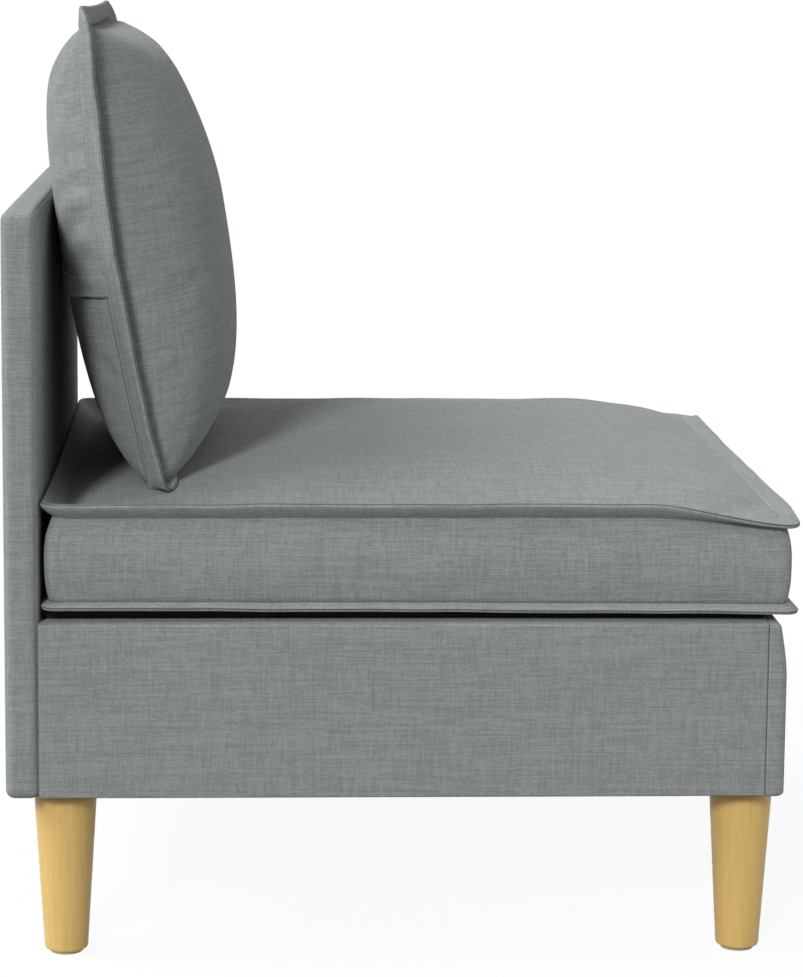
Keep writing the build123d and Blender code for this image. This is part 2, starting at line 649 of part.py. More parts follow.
for name, piece in zip(("cover", "foam", "zip"), seat_cushion()):
    save("seat_cushion_" + name, piece)
for name, piece in zip(("cover", "filling", "zip_flap", "zip"), back_cushion()):
    save("back_cushion_" + name, piece)
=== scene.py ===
import bmesh
import bpy
import numpy as np
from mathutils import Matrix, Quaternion, Vector


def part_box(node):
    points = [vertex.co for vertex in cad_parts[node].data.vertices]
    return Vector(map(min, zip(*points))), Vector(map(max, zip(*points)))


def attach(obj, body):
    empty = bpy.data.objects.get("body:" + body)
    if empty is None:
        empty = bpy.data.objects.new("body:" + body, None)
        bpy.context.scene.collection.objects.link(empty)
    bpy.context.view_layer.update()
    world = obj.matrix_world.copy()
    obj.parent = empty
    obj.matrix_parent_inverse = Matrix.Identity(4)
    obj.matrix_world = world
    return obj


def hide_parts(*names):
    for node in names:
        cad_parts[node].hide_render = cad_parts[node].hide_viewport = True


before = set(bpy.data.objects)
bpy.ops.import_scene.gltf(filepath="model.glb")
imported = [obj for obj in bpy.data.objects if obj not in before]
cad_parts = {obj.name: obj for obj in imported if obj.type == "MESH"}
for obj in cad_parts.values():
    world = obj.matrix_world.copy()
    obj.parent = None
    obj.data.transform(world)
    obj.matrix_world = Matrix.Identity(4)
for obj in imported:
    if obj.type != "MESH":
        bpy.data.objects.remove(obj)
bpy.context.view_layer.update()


# Posts and cleats
# Four pine posts stand in the corners of the base, and pine cleats along its walls carry lid and floor.
# They are planed, fixed to the panels from inside and left bare.
def colour(red, green, blue):
    """A linear colour from its 0 to 255 display values."""
    shares = np.array([red, green, blue]) / 255
    linear = np.where(shares < 0.04045, shares / 12.92, ((shares + 0.055) / 1.055) ** 2.4)
    return (*linear, 1.0)


def node(tree, kind, inputs, **settings):
    """A shader node: settings go on the node itself, inputs are values, or sockets to link from."""
    made = tree.nodes.new(kind)
    for key, value in settings.items():
        setattr(made, key, value)
    for key, value in inputs.items():
        if isinstance(value, bpy.types.NodeSocket):
            tree.links.new(value, made.inputs[key])
        else:
            made.inputs[key].default_value = value
    return made


def maths(tree, operation, first, second=0.0):
    """The result of one sum on two values or sockets."""
    return node(tree, "ShaderNodeMath", {0: first, 1: second}, operation=operation).outputs[0]


def blend_colours(tree, share, first, second):
    """A colour between two, by a share from 0 to 1."""
    return node(tree, "ShaderNodeMix", {0: share, 6: first, 7: second}, data_type="RGBA").outputs[2]


def noise(tree, place, scales, detail=2.0):
    """Smooth noise about 0.5, stretched by its own scale along each axis of a place. It is cut halfway
    between the planes of its lattice, because on them it would show a grid."""
    moved = node(tree, "ShaderNodeMapping", {"Vector": place, "Scale": scales, "Location": (0.0, 0.0, 0.5)})
    return node(
        tree, "ShaderNodeTexNoise", {"Vector": moved.outputs[0], "Scale": 1.0, "Detail": detail}
    ).outputs[0]


def new_group(name, inputs, outputs):
    """An empty shader node group with those sockets, as its tree and its two end nodes."""
    tree = bpy.data.node_groups.new(name, "ShaderNodeTree")
    for socket, kind in inputs.items():
        tree.interface.new_socket(socket, in_out="INPUT", socket_type=kind)
    for socket, kind in outputs.items():
        tree.interface.new_socket(socket, in_out="OUTPUT", socket_type=kind)
    return tree, tree.nodes.new("NodeGroupInput"), tree.nodes.new("NodeGroupOutput")


def new_material(name, roughness, **sockets):
    """A material with plain values on its shader, as the material, its tree and its shader."""
    material = bpy.data.materials.new(name)
    material.use_nodes = True
    shader = material.node_tree.nodes["Principled BSDF"]
    shader.inputs["Roughness"].default_value = roughness
    for socket, value in sockets.items():
        shader.inputs[socket.replace("_", " ")].default_value = value
    return material, material.node_tree, shader


def relief(tree, shader, height, depth, strength=1.0):
    """Bump on a shader from a height of 0 to 1, depth metres deep."""
    bump = node(tree, "ShaderNodeBump", {"Height": height, "Distance": depth, "Strength": strength})
    tree.links.new(bump.outputs[0], shader.inputs["Normal"])


GROWTH_SCALES, FIBRE_SCALES = (1.0, 1.0, 1.0), (9.0, 9.0, 3.0)
GROWTH_SHARE, FIBRE_SHARE = 0.7, 0.3
DARKEST_STREAK, PALEST_STREAK = 0.3, 0.7
grain, given, result = new_group(
    "wood_grain",
    {"Place": "NodeSocketVector", "Pale": "NodeSocketColor", "Dark": "NodeSocketColor"},
    {"Colour": "NodeSocketColor", "Height": "NodeSocketFloat"},
)
growth = noise(grain, given.outputs["Place"], GROWTH_SCALES, 3.0)
fibres = noise(grain, given.outputs["Place"], FIBRE_SCALES, 2.0)
growth_part = maths(grain, "MULTIPLY", growth, GROWTH_SHARE)
fibre_part = maths(grain, "MULTIPLY", fibres, FIBRE_SHARE)
streaks = maths(grain, "ADD", growth_part, fibre_part)
steep = node(grain, "ShaderNodeMapRange", {0: streaks, 1: DARKEST_STREAK, 2: PALEST_STREAK})
grain_colour = blend_colours(grain, steep.outputs[0], given.outputs["Dark"], given.outputs["Pale"])
grain.links.new(grain_colour, result.inputs["Colour"])
grain.links.new(fibres, result.inputs["Height"])

GRAIN_STRETCH = 25
GRAIN_DEPTH = 0.0002


def wood(name, along, pale, dark, ring, roughness):
    """Wood with growth rings of that pitch, drawn out along one axis of the piece."""
    material, tree, shader = new_material(name, roughness)
    scales = np.full(3, 1 / ring)
    scales["xyz".index(along)] /= GRAIN_STRETCH
    place = node(tree, "ShaderNodeTexCoord", {}).outputs["Object"]
    moved = node(tree, "ShaderNodeMapping", {"Vector": place, "Scale": scales})
    made = node(tree, "ShaderNodeGroup", {}, node_tree=grain)
    tree.links.new(moved.outputs[0], made.inputs["Place"])
    made.inputs["Pale"].default_value = pale
    made.inputs["Dark"].default_value = dark
    tree.links.new(made.outputs["Colour"], shader.inputs["Base Color"])
    relief(tree, shader, made.outputs["Height"], GRAIN_DEPTH)
    return material


def dress(material, *names):
    """Gives CAD nodes a material."""
    for name in names:
        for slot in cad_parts[name].material_slots:
            slot.material = material


PINE_RING = 0.006
PINE_ROUGHNESS = 0.7
PINE = colour(222, 190, 140), colour(196, 156, 104), PINE_RING, PINE_ROUGHNESS
ENDS = "rear", "front"
SIDES = "left", "right"
dress(wood("pine_upright", "z", *PINE), *[f"{e}_{s}_post" for e in ENDS for s in SIDES])
pine_lengthwise = wood("pine_lengthwise", "y", *PINE)
pine_crosswise = wood("pine_crosswise", "x", *PINE)
for level in ("lid", "bottom"):
    dress(pine_lengthwise, *[f"{s}_{level}_cleat" for s in SIDES])
    dress(pine_crosswise, *[f"{e}_{level}_cleat" for e in ENDS])


# Panel boards and storage floor
# The core boards of the back, the sides, the front, the floor and the lid are plywood, cut to size.
# Their padding, where they have any, is a thin sheet of foam glued on.
PLY_RING = 0.012
PLY_ROUGHNESS = 0.75
PLYWOOD = colour(206, 172, 124), colour(178, 140, 94), PLY_RING, PLY_ROUGHNESS
dress(wood("plywood_crosswise", "x", *PLYWOOD), "backrest_board", "front_board", "bottom_board")
dress(wood("plywood_lengthwise", "y", *PLYWOOD), "left_side_board", "right_side_board", "lid_board")


def cellular(name, pale, dark, cell, roughness):
    """A spongy or felted surface: mottled between two colours, with pits of that size."""
    material, tree, shader = new_material(name, roughness)
    place = node(tree, "ShaderNodeTexCoord", {}).outputs["Object"]
    pits = noise(tree, place, np.full(3, 1 / cell), 3.0)
    tree.links.new(blend_colours(tree, pits, dark, pale), shader.inputs["Base Color"])
    relief(tree, shader, pits, cell / 3)
    return material


FOAM_CELL = 0.002
FIBRE_TUFT = 0.004
MATT = 0.95
foam = cellular("foam", colour(232, 222, 190), colour(206, 192, 152), FOAM_CELL, MATT)
fibre = cellular("fibre", colour(244, 244, 240), colour(220, 220, 214), FIBRE_TUFT, MATT)
dress(foam, *[f"{p}_padding" for p in ("backrest", "left_side", "right_side", "front")], "seat_cushion_foam")
dress(fibre, "back_cushion_filling")


# Bolts, screws, washers and inserts
# Zinc-plated steel: hanger bolts in the legs, bolts through the panels into inserts, and wood screws.
# The plating is bright with a faint cloudiness.
CLOUDS_IN_METRE = 220.0
GLOSS_SPREAD = 0.1


def plated(name, pale, dark, roughness):
    """Plated metal, clouded between two colours and between two levels of gloss."""
    material, tree, shader = new_material(name, roughness, Metallic=1.0)
    place = node(tree, "ShaderNodeTexCoord", {}).outputs["Object"]
    clouds = noise(tree, place, np.full(3, CLOUDS_IN_METRE), 3.0)
    tree.links.new(blend_colours(tree, clouds, dark, pale), shader.inputs["Base Color"])
    gloss = node(
        tree, "ShaderNodeMapRange", {0: clouds, 3: roughness - GLOSS_SPREAD, 4: roughness + GLOSS_SPREAD}
    )
    tree.links.new(gloss.outputs[0], shader.inputs["Roughness"])
    return material


PLATING_ROUGHNESS = 0.35
dress(
    plated("plated_steel", colour(206, 208, 210), colour(168, 170, 172), PLATING_ROUGHNESS),
    "leg_bolts", "leg_inserts", "panel_bolts", "panel_washers", "panel_inserts", "post_screws",
    "cleat_screws", "bottom_board_screws", "lid_batten_screws",
)


# Upholstered panels
# Back, sides and front are boards under thin foam, each in its own sleeve of a grey linen-look weave.
# The cloth is drawn tight and stapled underneath, so the edges are round and the faces barely swell.
linen, given, result = new_group(
    "linen_weave",
    {"Cloth": "NodeSocketVector", "Yarn": "NodeSocketFloat"},
    {"Shade": "NodeSocketFloat", "Height": "NodeSocketFloat"},
)
cloth_place = given.outputs["Cloth"]
YARNS_IN_METRE = 1100.0
WEFT_STREAKS, WARP_STREAKS, SLUBS = 25.0, 50.0, 260.0
WEFT_SHARE, WARP_SHARE, SLUB_SHARE = 0.36, 0.30, 0.34
weft = noise(linen, cloth_place, (WEFT_STREAKS, YARNS_IN_METRE, 1.0), 0.0)
slubs = noise(linen, cloth_place, (SLUBS, YARNS_IN_METRE, 1.0), 0.0)
warp = noise(linen, cloth_place, (YARNS_IN_METRE, WARP_STREAKS, 1.0), 0.0)
ways = node(linen, "ShaderNodeSeparateXYZ", {0: cloth_place})
turns = [maths(linen, "MULTIPLY", ways.outputs[axis], np.pi) for axis in (0, 1)]
rolls = [maths(linen, "SINE", maths(linen, "DIVIDE", turn, given.outputs["Yarn"])) for turn in turns]
over = maths(linen, "ADD", maths(linen, "MULTIPLY", maths(linen, "MULTIPLY", *rolls), 0.5), 0.5)
yarns = node(linen, "ShaderNodeMix", {0: over, 2: weft, 3: warp}).outputs[0]
lengths = maths(
    linen, "ADD", maths(linen, "MULTIPLY", weft, WEFT_SHARE), maths(linen, "MULTIPLY", warp, WARP_SHARE)
)
shade = maths(linen, "ADD", lengths, maths(linen, "MULTIPLY", slubs, SLUB_SHARE))
linen.links.new(shade, result.inputs["Shade"])
ridges = node(linen, "ShaderNodeMix", {
    0: over, 2: maths(linen, "ABSOLUTE", rolls[0]), 3: maths(linen, "ABSOLUTE", rolls[1]),
}).outputs[0]
linen.links.new(maths(linen, "ADD", maths(linen, "MULTIPLY", ridges, 0.5), yarns), result.inputs["Height"])
DARKEST_YARN, PALEST_YARN = 0.4, 0.6


def weave(name, pale, dark, yarn, depth):
    """A woven cloth on the piece's flat cloth map: slubby yarns between two colours, with their relief."""
    material, tree, shader = new_material(
        name, roughness=0.92, Sheen_Weight=0.1, Sheen_Roughness=0.6, Specular_IOR_Level=0.2
    )
    flat = node(tree, "ShaderNodeUVMap", {}, uv_map="cloth")
    made = node(tree, "ShaderNodeGroup", {}, node_tree=linen)
    tree.links.new(flat.outputs[0], made.inputs["Cloth"])
    made.inputs["Yarn"].default_value = yarn
    steep = node(tree, "ShaderNodeMapRange", {0: made.outputs["Shade"], 1: DARKEST_YARN, 2: PALEST_YARN})
    tree.links.new(blend_colours(tree, steep.outputs[0], dark, pale), shader.inputs["Base Color"])
    relief(tree, shader, made.outputs["Height"], depth, 0.5)
    return material


YARN = 0.0009
YARN_DEPTH = 0.0003
upholstery = weave("grey_linen", colour(142, 148, 146), colour(123, 128, 126), YARN, YARN_DEPTH)
MERGE = 1e-6


def quads_between(grids):
    """Quads between neighbouring points of grids, or of stacks of like grids, that are listed end to end."""
    quads = []
    start = 0
    for points in grids:
        shape = points.shape[:-1] if points.ndim == 4 else (1, *points.shape[:-1])
        index = start + np.arange(np.prod(shape)).reshape(shape)
        start += index.size
        corners = index[:, :-1, :-1], index[:, 1:, :-1], index[:, 1:, 1:], index[:, :-1, 1:]
        quads.append(np.stack(corners, axis=-1).reshape(-1, 4))
    return np.concatenate(quads)


def piece(name, patches, material, body):
    """One piece from grids of points and their places on flat cloth: quads join neighbours, edges merge."""
    corners = quads_between([points for points, flat in patches])
    points = np.concatenate([points.reshape(-1, 3) for points, flat in patches])
    flat = np.concatenate([flat.reshape(-1, 2) for points, flat in patches])
    mesh = bpy.data.meshes.new(name)
    mesh.from_pydata(points, [], corners)
    mesh.uv_layers.new(name="cloth").data.foreach_set("uv", flat[corners.ravel()].ravel())
    skin = bmesh.new()
    skin.from_mesh(mesh)
    bmesh.ops.remove_doubles(skin, verts=skin.verts, dist=MERGE)
    bmesh.ops.recalc_face_normals(skin, faces=skin.faces)
    for face in skin.faces:
        face.smooth = True
    skin.to_mesh(mesh)
    skin.free()
    mesh.materials.append(material)
    made = bpy.data.objects.new(name, mesh)
    bpy.context.scene.collection.objects.link(made)
    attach(made, body)
    return made


RIM_ROWS = 7
SPOT_ROWS = 9


def places(low, high, step, rim, spots=()):
    """Places about a step apart from low to high, closer in a rim at both ends and about given spots."""
    rows = [np.linspace(low, high, round((high - low) / step) + 1)]
    rows += [np.linspace(low, low + rim, RIM_ROWS), np.linspace(high - rim, high, RIM_ROWS)]
    rows += [np.linspace(spot - rim / 3, spot + rim / 3, SPOT_ROWS) for spot in spots]
    rows = np.unique(np.concatenate(rows).round(5))
    rows[0], rows[-1] = low, high
    return rows


def rounded(points, core, radius):
    """Points of a square-cornered form drawn onto rounds about its core: each keeps its longest distance from
    the nearest point of the core as its distance from it, both counted in radii along each axis."""
    out = (points - core) / radius
    length = np.linalg.norm(out, axis=-1, keepdims=True).clip(1e-9)
    return core + radius * out * np.abs(out).max(axis=-1, keepdims=True) / length


def sleeve(low, high, round_over, puff, seam=None, flush=None):
    """A tight sleeve over a board, as six grids. The edges of a plain box are rounded, its faces swell by
    puff away from their edges, and a seam sinks in a line at both ends. A flush side stays flat with square
    edges, and there the board is bare inside a narrow hem."""
    low, high, round_over = np.array(low), np.array(high), np.array(round_over)
    puff = np.broadcast_to(puff, 3)
    core = np.stack([low + round_over, high - round_over])
    if flush:
        end, axis = flush
        core[end, axis] = (low, high)[end][axis]
    patches = []
    for axis in range(3):
        across, along = others = [other for other in range(3) if other != axis]
        spots = [], [seam] if seam else [], []
        rows = [places(low[o], high[o], PANEL_STEP, round_over[o] * 1.5, spots[o]) for o in others]
        grids = np.meshgrid(*rows, indexing="ij")
        for end, face in enumerate((low, high)):
            points = np.empty((*grids[0].shape, 3))
            points[..., across], points[..., along] = grids
            points[..., axis] = face[axis]
            points = rounded(points, points.clip(*core), round_over)
            if flush == (end, axis):
                insets = [np.minimum(grid - low[o], high[o] - grid) for grid, o in zip(grids, others)]
                inset = np.minimum(*insets)
                swell = np.where(inset > HEM, -BARE_BOARD, HEM_THICK * (inset > MERGE))
            else:
                shares = [2 * (grid - low[o]) / (high - low)[o] - 1 for grid, o in zip(grids, others)]
                swell = (1 - shares[0] ** FLATNESS) * (1 - shares[1] ** FLATNESS)
                dip = np.exp(-((points[..., 1] - seam) / SEAM_WIDTH) ** 2) if seam and axis == 0 else 0
                swell = swell * (puff[axis] - SEAM_DEPTH * dip)
            points[..., axis] += (2 * end - 1) * swell
            patches.append((points, np.stack(grids, axis=-1)))
    return patches


PANEL_STEP = 0.012
FLATNESS = 8
SEAM_DEPTH = 0.0002
SEAM_WIDTH = 0.0010
BARE_BOARD = 0.0008
HEM = 0.0055
HEM_THICK = 0.0003
BACKREST_ROUND = 0.0072, 0.0085, 0.0072
BACKREST_STRIP = 0.0268
PANEL_PUFF = 0.0012
low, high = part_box("backrest_cover")
backrest = piece(
    "backrest_panel",
    sleeve(low, high, BACKREST_ROUND, PANEL_PUFF, seam=high[1] - BACKREST_STRIP),
    upholstery, "frame",
)
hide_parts("backrest_cover", "backrest_padding")

SIDE_PUFF = 0.0006
SIDE_ROUND = 0.016, 0.0035, 0.0025
SIDE_PRESSED_FRONT = np.array([0, 0.0014, 0.0004])
SIDE_PRESSED_REAR = np.array([0, 0.0022, 0.0004])
for end, side in ((1, "left"), (0, "right")):
    low, high = np.array(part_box(f"{side}_side_cover"))
    low, high = low - SIDE_PRESSED_FRONT, high + SIDE_PRESSED_REAR
    panel = piece(
        f"{side}_side_panel",
        sleeve(low, high, SIDE_ROUND, SIDE_PUFF, flush=(end, 0)),
        upholstery, "frame",
    )
    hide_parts(f"{side}_side_cover", f"{side}_side_padding")

FRONT_ROUND = 0.0045, 0.007, 0.0045
FRONT_SLOPE = 0.0065
FRONT_SLOPE_HEIGHT = 0.047
FRONT_SLOPE_POWER = 1.4
low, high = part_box("front_cover")
front_patches = sleeve(low, high, FRONT_ROUND, (0, PANEL_PUFF, PANEL_PUFF), flush=(1, 1))
for points, flat in front_patches:
    near_top = ((points[..., 2] - high[2]) / FRONT_SLOPE_HEIGHT + 1).clip(0, 1)
    thinner = FRONT_SLOPE / (high[1] - low[1]) * near_top ** FRONT_SLOPE_POWER
    points[..., 1] = high[1] + (points[..., 1] - high[1]) * (1 - thinner)
front = piece("front_panel", front_patches, upholstery, "frame")
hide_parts("front_cover", "front_padding")


# Dust cover
# A black non-woven sheet stapled under the base closes it against dust.
# It is pressed polypropylene fibre with a fine pitted surface.
FELT_PIT = 0.0012
black_felt_and_gap_shade = cellular("black_nonwoven_and_gap_shade", colour(30, 30, 31), colour(14, 14, 15), FELT_PIT, MATT)
# The same black dresses the lid's cover, whose edge shows in the gap under the seat cushion: there the black
# is the lid's covering and also painted shade in that gap.
dress(black_felt_and_gap_shade, "dust_cover", "lid_cover")


# Legs and glides
# Four turned birch legs taper to the foot and are lacquered in a warm yellow, with a satin finish.
# A hanger bolt screws each one into its post, and a pale plastic glide is nailed under the foot.
LEG_RING = 0.004
LEG_ROUGHNESS = 0.42
LACQUER = {"Coat Weight": 0.06, "Coat Roughness": 0.35, "Specular IOR Level": 0.3}
FOOT_SHARE = 19.5 / 28.5
FOOT_ROUND = 0.0028
LEG_ROWS = 14
LEG_FACETS = 72
BEND_ROWS = 7
CAP_SHARE = 0.6
birch = wood("lacquered_birch", "z", colour(222, 187, 114), colour(210, 174, 103), LEG_RING, LEG_ROUGHNESS)
for socket, value in LACQUER.items():
    birch.node_tree.nodes["Principled BSDF"].inputs[socket].default_value = value


def turned(low, high):
    """A turned leg: a straight taper from top to foot with a rounded foot edge, carried round its axis."""
    centre = (np.array(low) + np.array(high)) / 2
    top_radius = (high[0] - low[0]) / 2
    foot_radius = top_radius * FOOT_SHARE
    bend = np.linspace(0, np.pi / 2, BEND_ROWS)
    radii = np.concatenate([
        [0, foot_radius * CAP_SHARE],
        foot_radius - FOOT_ROUND + FOOT_ROUND * np.sin(bend),
        np.linspace(foot_radius, top_radius, LEG_ROWS)[1:],
        [top_radius * CAP_SHARE, 0],
    ])
    heights = np.concatenate([
        [low[2], low[2]],
        low[2] + FOOT_ROUND - FOOT_ROUND * np.cos(bend),
        np.linspace(low[2] + FOOT_ROUND, high[2], LEG_ROWS)[1:],
        [high[2], high[2]],
    ])
    angles = np.linspace(0, 2 * np.pi, LEG_FACETS + 1)
    points = np.stack([
        centre[0] + np.outer(radii, np.cos(angles)),
        centre[1] + np.outer(radii, np.sin(angles)),
        np.repeat(heights[:, None], len(angles), axis=1),
    ], axis=-1)
    points[:, -1] = points[:, 0]
    flat = np.stack(np.meshgrid(heights, angles * top_radius, indexing="ij"), axis=-1)
    return [(points, flat)]


for end in ENDS:
    for side in SIDES:
        name = f"{end}_{side}_leg"
        leg = piece(f"{name}_turned", turned(*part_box(name)), birch, "frame")
        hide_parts(name)
GLIDE_MOTTLE = 0.003
GLIDE_ROUGHNESS = 0.6
dress(
    cellular("pale_plastic", colour(214, 196, 160), colour(200, 180, 142), GLIDE_MOTTLE, GLIDE_ROUGHNESS),
    "leg_glides",
)


# Lift-out lid
# A plywood lid under black non-woven lies on the cleats, stiffened by two pine battens screwed on below.
# A loop of black webbing at its front edge lifts it.
# Where the lid's edge shows in the gap under the seat cushion, its black non-woven also serves as painted
# shade there.
dress(pine_lengthwise, "lid_batten_left", "lid_batten_right")
RIB = 0.0022
RIB_DEPTH = 0.0003


def webbing(name, pale, dark, rib):
    """Flat woven tape with ribs across it, whose height follows a sine."""
    material, tree, shader = new_material(name, roughness=0.8)
    place = node(tree, "ShaderNodeTexCoord", {}).outputs["Object"]
    split = node(tree, "ShaderNodeSeparateXYZ", {0: place})
    ribs = maths(tree, "SINE", maths(tree, "MULTIPLY", split.outputs[0], 2 * np.pi / rib))
    height = maths(tree, "ADD", maths(tree, "MULTIPLY", ribs, 0.5), 0.5)
    tree.links.new(blend_colours(tree, height, dark, pale), shader.inputs["Base Color"])
    relief(tree, shader, height, RIB_DEPTH)
    return material


dress(webbing("black_webbing", colour(44, 44, 46), colour(22, 22, 24), RIB), "lid_pull_tab")


# Seat cushion
# A foam block in a zipped cover: crowned top and bulging border, with the seam allowances turned out and
# topstitched into a flange round the top and another round the bottom. It lies loose on the lid.
FLANGE_RUN = 0.018
SEAT_CORNER = 0.011
SEAT_BOW = 0.003
SEAT_TUCK = 0.005
LOWER_SEAM = 0.010
BORDER = 0.073
BULGE_FRONT, BULGE_SIDE, BULGE_REAR = 0.0115, 0.0145, 0.0150
CROWN_SIDE_RUN = 0.2
CROWN_FRONT_RUN = 0.2
CROWN_REAR_RUN = 0.33
CROWN_LIP = 0.006
CROWN_LIP_SHARE = 0.05
CROWN_POWER = 2.5
CROWN_CORNER_POWER = 5
seat_low, seat_high = np.array(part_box("seat_cushion_cover"))
lower_seam = seat_low[2] + LOWER_SEAM
upper_seam = lower_seam + BORDER
crown_rise = seat_high[2] - upper_seam


def steps(low, high, corner, count, corner_count):
    """Places from low to high, evenly divided between two corners and again in them."""
    return np.concatenate([
        np.linspace(low, low + corner, corner_count + 1)[:-1],
        np.linspace(low + corner, high - corner, count + 1),
        np.linspace(high - corner, high, corner_count + 1)[1:],
    ])


def plan(low, high, corner, bow, counts, corner_count):
    """A flat rectangle as a grid with rounded corners, whose sides bow in between them by a parabola."""
    low, high = np.array(low[:2]), np.array(high[:2])
    rows = [steps(low[axis], high[axis], corner, counts[axis], corner_count) for axis in (0, 1)]
    points = np.stack(np.meshgrid(*rows, indexing="ij"), axis=-1)
    points = rounded(points, points.clip(low + corner, high - corner), corner)
    middle, half = (low + high) / 2, (high - low) / 2
    share = (points - middle) / half
    pull = 1 - bow / half * (1 - share[..., ::-1] ** 2)
    return middle + half * share * pull


SEAT_COUNTS = 72, 76
SEAT_CORNER_COUNT = 5


def seat_plan(front, side, rear, corner=SEAT_CORNER):
    """The seat cushion's plan, out from its seams by so much at the front, the sides and the rear."""
    low = seat_low[:2] + FLANGE_RUN - (side, front)
    high = seat_high[:2] - FLANGE_RUN + (side, rear)
    return plan(low, high, corner, SEAT_BOW, SEAT_COUNTS, SEAT_CORNER_COUNT)


def rim(grid):
    """The edge of a grid, once round and back to its first point."""
    return np.concatenate([grid[:-1, 0], grid[-1, :-1], grid[:0:-1, -1], grid[0, ::-1]])


def along_ring(ring):
    """The step from the point before to the point after, at each point of a closed ring."""
    ahead = np.roll(ring[:-1], -1, axis=0) - np.roll(ring[:-1], 1, axis=0)
    return np.concatenate([ahead, ahead[:1]])


def outward(ring):
    """Directions of length 1 square to a flat ring at each of its points, away from its middle."""
    ahead = along_ring(ring)
    square = np.stack([ahead[:, 1], -ahead[:, 0]], axis=1)
    return square / np.linalg.norm(square, axis=1, keepdims=True)


def raised(plane, height):
    """Points of a plane at a height, or at a height each."""
    return np.concatenate([plane, np.broadcast_to(height, plane.shape[:-1])[..., None]], axis=-1)


def crown(x, y):
    """Height of the seat's top: a short steep lip at the seam, then a full curve up to the flat middle. The
    nearer side rules, with the corners rounded between two sides."""
    beside = 1 - (seat_high[0] - FLANGE_RUN - abs(x)) / CROWN_SIDE_RUN
    ahead = 1 - (y - seat_low[1] - FLANGE_RUN) / CROWN_FRONT_RUN
    behind = 1 - (seat_high[1] - FLANGE_RUN - y) / CROWN_REAR_RUN
    endwise = np.maximum(ahead, behind)
    edge = beside.clip(0, 1) ** CROWN_CORNER_POWER + endwise.clip(0, 1) ** CROWN_CORNER_POWER
    edge = (edge ** (1 / CROWN_CORNER_POWER)).clip(0, 1)
    lip = CROWN_LIP * (1 - np.exp((edge - 1) / CROWN_LIP_SHARE))
    return upper_seam + lip + (crown_rise - CROWN_LIP) * (1 - edge ** CROWN_POWER)


def ring_length(ring):
    """How far along a ring each of its points lies."""
    return np.concatenate([[0], np.cumsum(np.linalg.norm(np.diff(ring, axis=0), axis=1))])


def edges_of(grid):
    """True along the four edges of a grid."""
    mask = np.ones(grid.shape[:2], bool)
    mask[1:-1, 1:-1] = False
    return mask


def inflated(grids, held, slack, cap):
    """Cloth simulation of a closed skin of grids: held points stay, and the rest swells under pressure with
    cloth to spare. No point moves further than the cap, which is neared by a hyperbolic tangent. Gives the
    grids back with their points moved."""
    points = np.concatenate([grid.reshape(-1, 3) for grid in grids])
    spots = (points / MERGE).round()
    first, index = np.unique(spots, axis=0, return_index=True, return_inverse=True)[1:]
    index = index.ravel()
    start = points[first]
    mesh = bpy.data.meshes.new("skin")
    mesh.from_pydata(start, [], index[quads_between(grids)])
    skin = bmesh.new()
    skin.from_mesh(mesh)
    bmesh.ops.recalc_face_normals(skin, faces=skin.faces)
    skin.to_mesh(mesh)
    skin.free()
    cloth = bpy.data.objects.new("skin", mesh)
    bpy.context.scene.collection.objects.link(cloth)
    pinned = index[np.concatenate([mask.ravel() for mask in held])]
    cloth.vertex_groups.new(name="seam").add(np.unique(pinned).tolist(), 1.0, "REPLACE")
    modifier = cloth.modifiers.new("cloth", "CLOTH")
    settings = modifier.settings
    settings.quality = 5
    settings.mass = 0.2
    settings.tension_stiffness = 15
    settings.compression_stiffness = 15
    settings.shear_stiffness = 5
    settings.bending_stiffness = 0.5
    settings.use_pressure = True
    settings.uniform_pressure_force = 4
    settings.shrink_min = -slack
    settings.vertex_group_mass = "seam"
    settings.effector_weights.gravity = 0
    modifier.collision_settings.use_collision = False
    modifier.point_cache.frame_end = SIMULATED_STEPS
    for step in range(1, SIMULATED_STEPS + 1):
        bpy.context.scene.frame_set(step)
    moved = np.empty(start.size)
    result = cloth.evaluated_get(bpy.context.evaluated_depsgraph_get()).data
    result.vertices.foreach_get("co", moved)
    bpy.context.scene.frame_set(1)
    bpy.data.objects.remove(cloth)
    shift = moved.reshape(-1, 3) - start
    length = np.linalg.norm(shift, axis=1, keepdims=True).clip(1e-9)
    settled = (start + shift * cap * np.tanh(length / cap) / length)[index]
    ends = np.cumsum([grid.shape[0] * grid.shape[1] for grid in grids])[:-1]
    return [part.reshape(grid.shape) for part, grid in zip(np.split(settled, ends), grids)]


STITCH_PLACE = 0.05
STITCH_DIP = 0.25


def on_flange(root, edge, thick, sag, spots):
    """Points of a flange at spots given as shares of its run and of half its thickness, its run sagging by a
    parabola, and the direction of its upper face."""
    across = edge - root
    up = np.cross(across, along_ring(root))
    up /= np.linalg.norm(up, axis=1, keepdims=True)
    run = spots[:, 0].clip(0, 1)
    level = spots[:, 1] * thick / 2 - 4 * sag[:, None] * run * (1 - run)
    return root[:, None] + across[:, None] * spots[:, :1] + up[:, None] * level[..., None], up


FLANGE_PROFILE = np.array([
    (-0.3, 0.5), (-0.02, 0.6), (STITCH_PLACE, STITCH_DIP), (0.1, 0.75), (0.17, 1.0), (0.3, 1.0), (0.6, 1.0),
    (0.88, 1.0), (0.94, 0.95), (0.975, 0.8), (0.985, 0.62), (0.88, 0.34), (0.985, 0.05), (1.0, -0.2),
    (0.985, -0.55), (0.94, -0.85), (0.86, -1.0), (0.6, -1.0), (0.3, -1.0), (0.17, -1.0), (0.1, -0.75),
    (STITCH_PLACE, -STITCH_DIP), (-0.02, -0.6), (-0.3, -0.5), (-0.3, 0.5),
])


